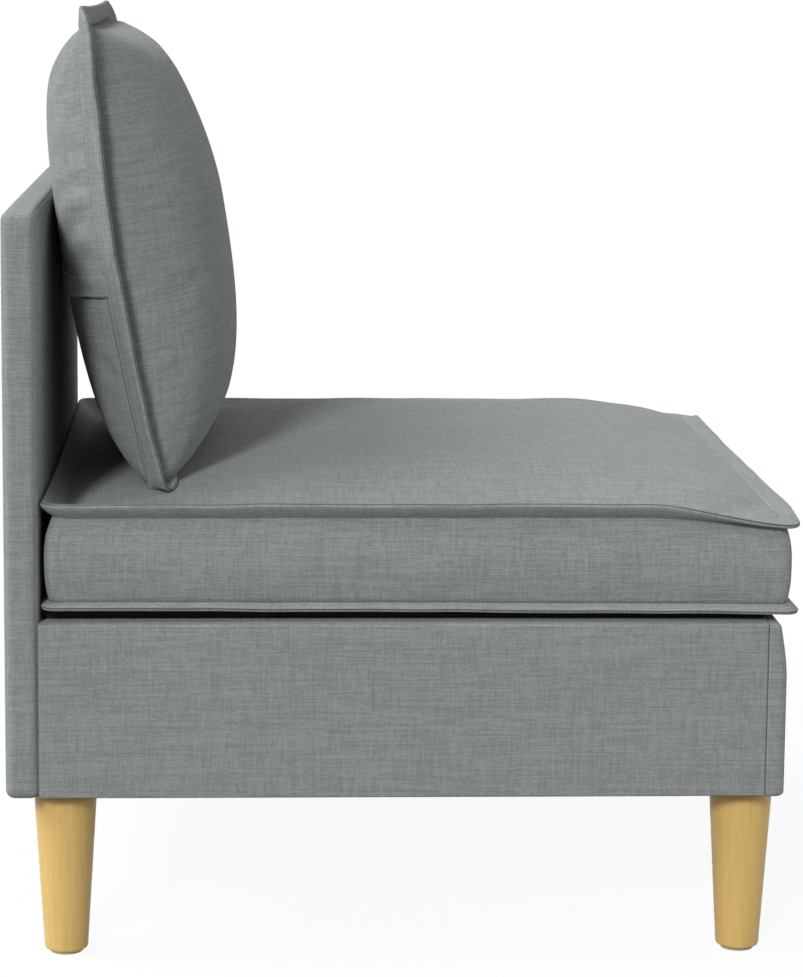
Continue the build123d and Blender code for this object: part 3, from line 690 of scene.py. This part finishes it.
def flange(*shape):
    """A flange of two cloth layers sewn together: a profile from a root inside the seam to a free edge,
    carried round a ring. It dips where it is stitched and has a groove between the layers along the edge."""
    points = on_flange(*shape, FLANGE_PROFILE)[0]
    root, edge = shape[:2]
    width = np.linalg.norm(edge - root, axis=1).mean()
    flat = np.stack(np.meshgrid(ring_length(root), FLANGE_PROFILE[:, 0] * width, indexing="ij"), axis=-1)
    return [(points, flat)]


THREAD = 0.0005
THREAD_ANGLES = np.linspace(0, 2 * np.pi, 7)
EDGE_PLACE = 0.955, 0.34
EDGE_SIZE = 0.04, 0.26
EDGE_PROFILE = np.stack([np.cos(THREAD_ANGLES), np.sin(THREAD_ANGLES)], axis=1) * EDGE_SIZE + EDGE_PLACE


def edge_thread(*shape):
    """The overlocked edge in the groove between a flange's two layers: a six-sided thread along the ring. Its
    dark grey also paints the groove's shade as a dark line.
    """
    points = on_flange(*shape, EDGE_PROFILE)[0]
    flat = np.stack(np.meshgrid(ring_length(shape[0]), THREAD_ANGLES * THREAD, indexing="ij"), axis=-1)
    return [(points, flat)]


STITCH = 0.0042
STITCH_GAP = 0.0014
STITCH_ROWS = 5


def stitches(*shape):
    """Topstitching on both faces of a flange: threads on short stretches of a ring, arched up from the cloth,
    each a six-sided section that shrinks to nothing at its two ends."""
    patches = []
    for face in (1, -1):
        line, up = on_flange(*shape, np.array([(STITCH_PLACE, face * STITCH_DIP)]))
        line = line[:, 0]
        reach = ring_length(line)
        count = round(reach[-1] / (STITCH + STITCH_GAP))
        shares = np.linspace(-1, 1, STITCH_ROWS)
        spots = (np.arange(count)[:, None] + 0.5) * reach[-1] / count + shares * STITCH / 2
        middle, out = [
            np.stack([np.interp(spots, reach, values[:, axis]) for axis in range(3)], axis=-1)
            for values in (line, face * up)
        ]
        out /= np.linalg.norm(out, axis=-1, keepdims=True)
        beside = np.cross(np.gradient(middle, axis=1), out)
        beside /= np.linalg.norm(beside, axis=-1, keepdims=True)
        middle = middle + out * THREAD * (1 - shares ** 2)[:, None]
        cosines, sines = np.cos(THREAD_ANGLES)[:, None], np.sin(THREAD_ANGLES)[:, None]
        section = beside[:, :, None] * cosines + out[:, :, None] * sines
        points = middle[:, :, None] + THREAD * np.sqrt(1 - shares ** 4)[:, None, None] * section
        points[:, :, -1] = points[:, :, 0]
        flat = np.stack(np.broadcast_arrays(spots[..., None], THREAD_ANGLES * THREAD), axis=-1)
        patches.append((points, flat))
    return patches


def ease(share):
    """A smooth step from 0 to 1."""
    share = np.clip(share, 0, 1)
    return share * share * (3 - 2 * share)


RIPPLES = (11, 1.0, 1.0), (23, 0.6, 2.0), (37, 0.4, 0.0)


def ripple(ring, size):
    """Small waves along a ring, as sewn edges have: three kinds, each with its count, share and start."""
    along = ring_length(ring) / ring_length(ring)[-1] * 2 * np.pi
    return size * sum(share * np.sin(count * along + start) for count, share, start in RIPPLES) / 2


FLANGE_THICK = 0.0050
FLANGE_CORNER = 0.014
FLANGE_UP = 0.0135
FLANGE_SAG = 0.0012
FLANGE_ROOT = 0.002
FLANGE_CORNER_DROP = 0.0065
FLANGE_FRONT_UP = 0.002
FLANGE_FRONT_RUN = 0.06
FLANGE_FRONT_DEPTH = 0.05
FLANGE_FRONT_TURN = 0.03
FLANGE_FALL = 0.138
UPPER_RIPPLE, LOWER_RIPPLE = 0.0007, 0.0005
top_plan = seat_plan(0, 0, 0)
seam_ring = rim(top_plan)
edge_ring = rim(seat_plan(FLANGE_RUN, FLANGE_RUN, FLANGE_RUN, FLANGE_CORNER))
fall = ease((seat_low[1] + FLANGE_FALL - edge_ring[:, 1]) / FLANGE_FALL)
inward = ease((seat_high[0] - abs(edge_ring[:, 0])) / FLANGE_FRONT_RUN)
inward = inward * ease((seat_low[1] + FLANGE_FRONT_DEPTH - edge_ring[:, 1]) / FLANGE_FRONT_TURN)
lift = FLANGE_UP - fall * (FLANGE_UP + FLANGE_CORNER_DROP)
lift = lift + inward * (FLANGE_FRONT_UP - lift) + ripple(edge_ring, UPPER_RIPPLE)
sag = FLANGE_SAG * (1 - fall)
upper = raised(seam_ring, upper_seam - FLANGE_ROOT), raised(edge_ring, upper_seam + lift), FLANGE_THICK, sag

FLANGE_DROP_REAR = 0.006
FLANGE_DROP_FRONT = 0.0105
LOWER_ROOT = 0.001
to_front = (seat_high[1] - edge_ring[:, 1]) / (seat_high[1] - seat_low[1])
drop = FLANGE_DROP_REAR + to_front * (FLANGE_DROP_FRONT - FLANGE_DROP_REAR) + ripple(edge_ring, LOWER_RIPPLE)
lower = (
    raised(seam_ring, lower_seam + LOWER_ROOT), raised(edge_ring, lower_seam - drop), FLANGE_THICK, sag * 0,
)

BORDER_HEAD, BORDER_FOOT = 0.5, 0.75
BORDER_BITE = 0.0008
BORDER_POWER = 2.6
BORDER_ROWS = 15
SIMULATED_STEPS = 20
SEAT_SLACK = 0.003
SEAT_SETTLE = 0.0025
head_share, foot_share = BORDER_HEAD * BULGE_SIDE / FLANGE_RUN, BORDER_FOOT * BULGE_SIDE / FLANGE_RUN
under = FLANGE_THICK / 2 - BORDER_BITE
border_high = upper_seam + head_share * lift - (FLANGE_ROOT + 4 * sag * head_share) * (1 - head_share) - under
border_low = lower_seam - foot_share * drop + under
bottom_plan = seat_plan(-SEAT_TUCK, -SEAT_TUCK, -SEAT_TUCK)
rows = [raised(rim(bottom_plan), seat_low[2]), raised(seam_ring, lower_seam)]
for height in np.linspace(0, 1, BORDER_ROWS):
    end_swell = BORDER_FOOT if height < 0.5 else BORDER_HEAD
    swell = 1 - (1 - end_swell) * abs(2 * height - 1) ** BORDER_POWER
    ring = rim(seat_plan(BULGE_FRONT * swell, BULGE_SIDE * swell, BULGE_REAR * swell))
    rows.append(raised(ring, border_low + (border_high - border_low) * height))
top = raised(top_plan, crown(top_plan[..., 0], top_plan[..., 1]))
border = np.stack(rows + [rim(top)])
bottom = raised(bottom_plan, seat_low[2])
border_held = np.zeros(border.shape[:2], bool)
border_held[[0, 1, 2, -2, -1]] = True
bottom_held = np.ones(bottom.shape[:2], bool)
top, border, bottom = inflated(
    [top, border, bottom], [edges_of(top), border_held, bottom_held], SEAT_SLACK, SEAT_SETTLE
)
UNDER_PILLOW = 0.12
UNDER_PILLOW_RUN = 0.05
free = np.clip((UNDER_PILLOW - top[..., 1]) / UNDER_PILLOW_RUN, 0, 1)
level = crown(top[..., 0], top[..., 1])
top[..., 2] = np.minimum(top[..., 2], level + SEAT_SETTLE * free).clip(upper_seam, seat_high[2])
border_flat = np.stack(np.broadcast_arrays(ring_length(seam_ring), border[..., 2]), axis=-1)

seat = piece(
    "seat_cushion",
    [(top, top_plan[..., ::-1]), (border, border_flat), (bottom, bottom_plan[..., ::-1])]
    + flange(*upper) + flange(*lower),
    upholstery, "seat_cushion",
)
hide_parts("seat_cushion_cover", "seat_cushion_foam")
# Thread for the topstitching and the overlocked flange edges. Its dark grey is partly painted shade: it
# darkens the stitched creases and the grooves along the flange edges, as shade would.
THREAD_MOTTLE = 0.0008
THREAD_ROUGHNESS = 0.75
thread = cellular("grey_thread_and_groove_shade", colour(92, 97, 95), colour(74, 78, 76), THREAD_MOTTLE, THREAD_ROUGHNESS)
piece(
    "seat_stitching", stitches(*upper) + stitches(*lower) + edge_thread(*upper) + edge_thread(*lower),
    thread, "seat_cushion",
)


def between(grid, across, along):
    """Points at fractional steps across and along a grid, mixed from the four points about each."""
    column, row = [
        np.floor(place).astype(int).clip(0, size - 2) for place, size in zip((across, along), grid.shape)
    ]
    u, v = (across - column)[..., None], (along - row)[..., None]
    near = grid[column, row] * (1 - u) + grid[column + 1, row] * u
    far = grid[column, row + 1] * (1 - u) + grid[column + 1, row + 1] * u
    return near * (1 - v) + far * v


def facing(grid, like):
    """Directions of length 1 square to a grid's surface, on the side that a given direction points to."""
    square = np.cross(np.gradient(grid, axis=0), np.gradient(grid, axis=1))
    square /= np.linalg.norm(square, axis=-1, keepdims=True).clip(1e-9)
    return square * np.sign((square * like).sum(axis=-1, keepdims=True))


ZIP_PROFILE = np.array([
    (-1, -0.6), (-1, 0.5), (-0.3, 0.6), (-0.22, 0.9), (-0.15, 1.9), (0, 2.4), (0.15, 1.9), (0.22, 0.9),
    (0.3, 0.6), (1, 0.5), (1, -0.6),
])
ZIP_TOOTH = 0.002
TOOTH_RELIEF = 0.2
TAPE_TOP = 0.001


def zip_band(surface, like):
    """A zip on a strip of surface: tape with a coil along its middle, whose teeth stand up at every other
    step, and both ends drawn to a point at their middle. The profile's heights are in millimetres."""
    tall = ZIP_PROFILE[:, 1:] / 1000
    count = np.arange(surface.shape[1])
    teeth = 1 + TOOTH_RELIEF * (-1.0) ** count * (tall > TAPE_TOP)
    points = surface + facing(surface, like) * (tall * teeth)[..., None]
    flat = np.stack(np.meshgrid(ZIP_PROFILE[:, 0] / 100, count * ZIP_TOOTH, indexing="ij"), axis=-1)
    tips = [points[:, [end]].mean(axis=0, keepdims=True) for end in (0, -1)]
    first, last = [np.repeat(tip, len(points), axis=0) for tip in tips]
    points = np.concatenate([first, points, last], axis=1)
    flat = np.concatenate([flat[:, :1], flat, flat[:, -1:]], axis=1)
    return [(np.concatenate([points, points[:1]]), np.concatenate([flat, flat[:1]]))]


SEAT_ZIP_LENGTH = 0.48
SEAT_ZIP_HEIGHT = 0.022
ZIP_MOTTLE = 0.0012
ZIP_ROUGHNESS = 0.8
zip_cloth = cellular("zip_tape", colour(70, 74, 73), colour(48, 51, 50), ZIP_MOTTLE, ZIP_ROUGHNESS)
rear_columns = np.flatnonzero(seam_ring[:, 1] > seat_high[1] - FLANGE_RUN - 2 * SEAT_BOW)
rear_columns = rear_columns[abs(seam_ring[rear_columns, 0]) < SEAT_ZIP_LENGTH / 2 + FLANGE_RUN]
zip_x = np.linspace(-1, 1, round(SEAT_ZIP_LENGTH / ZIP_TOOTH) + 1) * SEAT_ZIP_LENGTH / 2
zip_columns = np.interp(zip_x, seam_ring[rear_columns[::-1], 0], rear_columns[::-1])
zip_z = (lower_seam + upper_seam + ZIP_PROFILE[:, 0] * SEAT_ZIP_HEIGHT) / 2
zip_rows = np.interp(zip_z, border[2:-1, rear_columns[0], 2], np.arange(2, len(border) - 1))
zip_strip = between(border, *np.meshgrid(zip_rows, zip_columns, indexing="ij"))
seat_zip = piece("seat_zip", zip_band(zip_strip, (0, 1, 0)), zip_cloth, "seat_cushion")
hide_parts("seat_cushion_zip")


# Back cushion
# A pillow of polyester fibre with the same flanged edge, leaning on the backrest and standing on the seat.
# Its lower flange lies folded forward on the seat, and a flap across its back covers the zip.
PILLOW_FOOT = 0.220, 0.424
PILLOW_HEAD = 0.284, 0.828
PILLOW_SIDE_SETBACK = 0.012
SETBACK_POWER = 3
PILLOW_BOW = 0.0025
PILLOW_CORNER = 0.014
FRONT_FULL, REAR_FULL = 0.0955, 0.062
FRONT_SIDE_POWER, REAR_SIDE_POWER = 0.42, 0.6
END_POWER = 0.36
MIDDLE_POWER = 2.6
PILLOW_DROOP = 0.009
DROOP_SIDE_POWER, DROOP_FOOT_POWER = 2.5, 4
PILLOW_FLANGE = 0.019
PILLOW_SLACK = 0.012
PILLOW_SETTLE = 0.006
PILLOW_COUNTS = 82, 66
PILLOW_CORNER_COUNT = 3
pillow_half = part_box("back_cushion_cover")[1][0] - PILLOW_FLANGE
foot, head = np.array(PILLOW_FOOT), np.array(PILLOW_HEAD)
pillow_tall = np.linalg.norm(head - foot)
upward = np.array([0, *(head - foot)]) / pillow_tall
forward = np.array([0, -upward[2], upward[1]])


def pillow_middle(flat):
    """The pillow's middle sheet: leaning, sides set back at half height and lower corners drooping."""
    beside = np.abs(flat[..., :1]) / pillow_half
    height = flat[..., 1:] / pillow_tall
    setback = PILLOW_SIDE_SETBACK * 4 * height * (1 - height) * beside ** SETBACK_POWER
    droop = PILLOW_DROOP * beside ** DROOP_SIDE_POWER * (1 - height).clip(0, 1) ** DROOP_FOOT_POWER
    base = np.array([0, *foot]) + flat[..., 1:] * upward - setback * forward
    base[..., 0] += flat[..., 0]
    base[..., 2] -= droop[..., 0]
    return base


def fullness(flat, side_power):
    """How full the pillow is at a place of its square sheet, 0 at the seam and 1 in the middle."""
    beside = 1 - np.abs(flat[..., :1] / pillow_half).clip(0, 1) ** MIDDLE_POWER
    height = 1 - np.abs(2 * flat[..., 1:] / pillow_tall - 1).clip(0, 1) ** MIDDLE_POWER
    return beside ** side_power * height ** END_POWER


sheet_low, sheet_high = np.array([-pillow_half, 0]), np.array([pillow_half, pillow_tall])
sheet = plan(sheet_low, sheet_high, PILLOW_CORNER, PILLOW_BOW, PILLOW_COUNTS, PILLOW_CORNER_COUNT)
sheet_steps = [
    steps(sheet_low[axis], sheet_high[axis], PILLOW_CORNER, PILLOW_COUNTS[axis], PILLOW_CORNER_COUNT)
    for axis in (0, 1)
]
square_sheet = np.stack(np.meshgrid(*sheet_steps, indexing="ij"), axis=-1)
middle_sheet = pillow_middle(sheet)
panels = [
    middle_sheet + forward * full * fullness(square_sheet, power)
    for full, power in ((FRONT_FULL, FRONT_SIDE_POWER), (-REAR_FULL, REAR_SIDE_POWER))
]
panels = inflated(panels, [edges_of(panel) for panel in panels], PILLOW_SLACK, PILLOW_SETTLE)
CLEARANCE = 0.0004
HEAD_SLIM = 0.11
SLIM_FROM, SLIM_RUN = 0.55, 0.37
rest_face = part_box("backrest_cover")[0][1] - PANEL_PUFF - CLEARANCE
rest_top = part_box("backrest_cover")[1][2]
slim = 1 - HEAD_SLIM * ease((square_sheet[..., 1] / pillow_tall - SLIM_FROM) / SLIM_RUN)
for panel, full, narrow in zip(panels, (FRONT_FULL, -REAR_FULL), (slim, 1)):
    stand = ((panel - middle_sheet) * forward).sum(axis=-1)
    panel += forward * (stand * (narrow * full / stand.flat[abs(stand).argmax()] - 1))[..., None]
    leaning = panel[..., 2] < rest_top
    panel[..., 1] = np.where(leaning, np.minimum(panel[..., 1], rest_face), panel[..., 1])
    lowest = crown(panel[..., 0], panel[..., 1]) + CLEARANCE
    panel[..., 2] = np.maximum(panel[..., 2], lowest)
pillow_front, pillow_rear = panels

PUCKER = 0.0022
PUCKER_PITCH = 0.034
PUCKER_LEVEL = 0.66
PUCKER_HEIGHT = 0.1
PUCKER_REACH = 0.07
PUCKER_START = 0.014
PUCKER_BEND = 0.03
PUCKER_END_POWER = 8
from_seam = pillow_half - abs(square_sheet[..., 0])
bend = 2 * np.sin(square_sheet[..., 0] / PUCKER_BEND)
puckers = np.sin(2 * np.pi * square_sheet[..., 1] / PUCKER_PITCH + bend)
puckers = puckers * np.exp(-(from_seam / PUCKER_REACH) ** 2) * (1 - np.exp(-(from_seam / PUCKER_START) ** 2))
puckers = puckers * np.exp(-((pillow_rear[..., 2] - PUCKER_LEVEL) / PUCKER_HEIGHT) ** 2)
puckers = puckers * (1 - abs(2 * square_sheet[..., 1] / pillow_tall - 1) ** PUCKER_END_POWER)
pillow_rear -= forward * (PUCKER * puckers)[..., None]
pillow_rear[..., 1] = np.where(
    pillow_rear[..., 2] < rest_top, np.minimum(pillow_rear[..., 1], rest_face), pillow_rear[..., 1]
)


def unrolled(grid):
    """Places on flat cloth for a curved grid: lengths along its two ways, counted from its middle lines."""
    lengths = []
    for axis in (0, 1):
        step = np.linalg.norm(np.diff(grid, axis=axis), axis=-1)
        reach = np.insert(np.cumsum(step, axis=axis), 0, 0, axis=axis)
        lengths.append(reach - reach.take([grid.shape[axis] // 2], axis=axis))
    return np.stack(lengths, axis=-1)


seam = rim(sheet)
seam_place = rim(pillow_front)
turned_out = outward(seam)
TURN_SIDE, TURN_TOP, TURN_FOOT = np.radians([34, 12, 84])
EAR = 0.04
PILLOW_RIPPLE = 0.001
turn = TURN_SIDE * turned_out[:, 0] ** 2
turn = turn + np.where(turned_out[:, 1] > 0, TURN_TOP, TURN_FOOT) * turned_out[:, 1] ** 2
run = PILLOW_FLANGE * (1 + EAR * 4 * (turned_out[:, 0] * turned_out[:, 1].clip(0)) ** 2)
flange_edge = seam_place + (run * np.cos(turn))[:, None] * (
    turned_out[:, :1] * np.array([1.0, 0, 0]) + turned_out[:, 1:] * upward
) + (run * np.sin(turn) + ripple(seam, PILLOW_RIPPLE))[:, None] * forward
lying = crown(flange_edge[:, 0], flange_edge[:, 1]) + FLANGE_THICK / 2 + CLEARANCE
flange_edge[:, 2] = np.maximum(flange_edge[:, 2], lying)
pillow_edge = seam_place, flange_edge, FLANGE_THICK, np.zeros(len(seam))

pillow = piece(
    "back_cushion",
    [(pillow_front, unrolled(pillow_front)), (pillow_rear, unrolled(pillow_rear))] + flange(*pillow_edge),
    upholstery, "back_cushion",
)
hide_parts("back_cushion_cover", "back_cushion_filling")
# The pillow's stitching and edge thread use the same dark grey thread, partly painted shade in the stitched
# crease and the edge groove.
piece(
    "back_cushion_stitching", stitches(*pillow_edge) + edge_thread(*pillow_edge),
    thread, "back_cushion",
)

FLAP_LOW, FLAP_HIGH = 0.593, 0.612
FLAP_THICK = 0.0016
FLAP_STAND = 0.0034
FLAP_CURVE = 1.5
FLAP_TAPER = 0.04
FLAP_END = 0.003
FLAP_ROWS, FLAP_COLUMNS = 8, 241
flap_steps = np.linspace(-pillow_half, pillow_half, FLAP_COLUMNS)
flap_heights = np.linspace(FLAP_HIGH, FLAP_LOW, FLAP_ROWS)


def rear_strip(heights, x):
    """Points of the pillow's rear panel at heights above the floor, in rows, for places from side to side."""
    columns = np.interp(x, sheet_steps[0], np.arange(len(sheet_steps[0])))
    rows = np.interp((heights - foot[1]) / upward[2], sheet_steps[1], np.arange(len(sheet_steps[1])))
    return between(pillow_rear, *np.meshgrid(columns, rows, indexing="ij")).swapaxes(0, 1)


flap_base = rear_strip(flap_heights, flap_steps)
flap_out = facing(flap_base, -forward)
from_end = pillow_half - abs(flap_steps)
stand = np.linspace(0, 1, FLAP_ROWS)[:, None] ** FLAP_CURVE * FLAP_STAND * ease(from_end / FLAP_TAPER)
outer = flap_base + flap_out * (stand + FLAP_THICK * ease(from_end / FLAP_END))[..., None]
inner = flap_base + flap_out * stand[..., None]
flap_points = np.concatenate([outer, inner[::-1], outer[:1]])
flap_flat = np.stack(np.meshgrid(flap_heights, flap_steps, indexing="ij")[::-1], axis=-1)
flap_flat = np.concatenate([flap_flat, flap_flat[::-1], flap_flat[:1]])
flap = piece("zip_flap", [(flap_points, flap_flat)], upholstery, "back_cushion")
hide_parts("back_cushion_zip_flap")

PILLOW_ZIP_LENGTH = 0.44
PILLOW_ZIP_HEIGHT = 0.011
PILLOW_ZIP_RAISE = 0.8
zip_x = np.linspace(-1, 1, round(PILLOW_ZIP_LENGTH / ZIP_TOOTH) + 1) * PILLOW_ZIP_LENGTH / 2
zip_heights = FLAP_LOW + PILLOW_ZIP_HEIGHT / 2 * (ZIP_PROFILE[:, 0] + PILLOW_ZIP_RAISE)
pillow_zip = piece(
    "back_cushion_zip_band", zip_band(rear_strip(zip_heights, zip_x), -forward),
    zip_cloth, "back_cushion",
)
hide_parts("back_cushion_zip")


# Studio
# A plain pale floor and soft light: the room's own, a lamp low over the camera's left shoulder, a wide one
# high behind the backrest and a weak one in front. The camera looks at the sofa's left side, from a little
# above the top of the back cushion.
FLOOR_REACH = 150.0
FLOOR_SEEN, FLOOR_FELT = (0.9, 0.9, 0.9, 1), (0.26, 0.26, 0.26, 1)
FLOOR_GLOW = 0.93
floor_mesh = bpy.data.meshes.new("floor")
floor_mesh.from_pydata(
    np.array([(-1, -1, 0), (1, -1, 0), (1, 1, 0), (-1, 1, 0)]) * FLOOR_REACH, [], [(0, 1, 2, 3)]
)
floor = bpy.data.objects.new("floor", floor_mesh)
bpy.context.scene.collection.objects.link(floor)


def seen_directly(tree):
    """1 for a ray from the camera, or one mirrored or seen through glass, and 0 for scattered light."""
    rays = node(tree, "ShaderNodeLightPath", {})
    seen = maths(tree, "MAXIMUM", rays.outputs["Is Camera Ray"], rays.outputs["Is Glossy Ray"])
    return maths(tree, "MAXIMUM", seen, rays.outputs["Is Transmission Ray"])


floor_material, tree, shader = new_material("pale_floor", roughness=0.9)
seen = seen_directly(tree)
tree.links.new(blend_colours(tree, seen, FLOOR_FELT, FLOOR_SEEN), shader.inputs["Base Color"])
glow = node(tree, "ShaderNodeEmission", {"Color": (1, 1, 1, 1), "Strength": 1.0})
mixed = node(tree, "ShaderNodeMixShader", {
    0: maths(tree, "MULTIPLY", seen, FLOOR_GLOW), 1: shader.outputs[0], 2: glow.outputs[0],
})
tree.links.new(mixed.outputs[0], tree.nodes["Material Output"].inputs["Surface"])
floor_mesh.materials.append(floor_material)

SKY_LEVEL = 0.37
world = bpy.data.worlds.new("studio")
bpy.context.scene.world = world
world.use_nodes = True
tree = world.node_tree
strength = node(tree, "ShaderNodeMix", {0: seen_directly(tree), 2: SKY_LEVEL, 3: 1.0}).outputs[0]
background = tree.nodes["Background"]
background.inputs["Color"].default_value = (1, 1, 1, 1)
tree.links.new(strength, background.inputs["Strength"])


def lamp(name, toward, level, angle):
    """A distant lamp seen in a direction, as wide as an angle. A face square to it gets that share of full
    light."""
    light = bpy.data.lights.new(name, "SUN")
    light.energy = level * np.pi
    light.angle = np.radians(angle)
    made = bpy.data.objects.new(name, light)
    made.rotation_euler = Vector(toward).to_track_quat("Z", "Y").to_euler()
    bpy.context.scene.collection.objects.link(made)


lamp("key_lamp", (-0.5, 0.2, 0.31), 0.60, 12)
lamp("rear_lamp", (-0.03, 0.6, 0.62), 0.70, 34)
lamp("front_lamp", (0, -0.98, 0.2), 0.10, 40)

CAMERA_PLACE = -2.8105, 0.1440, 0.8783
CAMERA_PITCH, CAMERA_YAW, CAMERA_ROLL = np.radians([7.850, 2.045, 0.363])
camera = bpy.data.objects.new("camera", bpy.data.cameras.new("camera"))
camera.data.lens = 107.0
camera.data.sensor_width = 36
camera.data.shift_x = 0.06
camera.data.shift_y = -0.12
camera.location = CAMERA_PLACE
along_floor = np.cos(CAMERA_PITCH)
sight = Vector((
    along_floor * np.cos(CAMERA_YAW), -along_floor * np.sin(CAMERA_YAW), -np.sin(CAMERA_PITCH),
))
facing_way = sight.to_track_quat("-Z", "Y") @ Quaternion((0, 0, 1), CAMERA_ROLL)
camera.rotation_euler = facing_way.to_euler()
bpy.context.scene.collection.objects.link(camera)
bpy.context.scene.camera = camera
bpy.context.scene.view_settings.view_transform = "Standard"
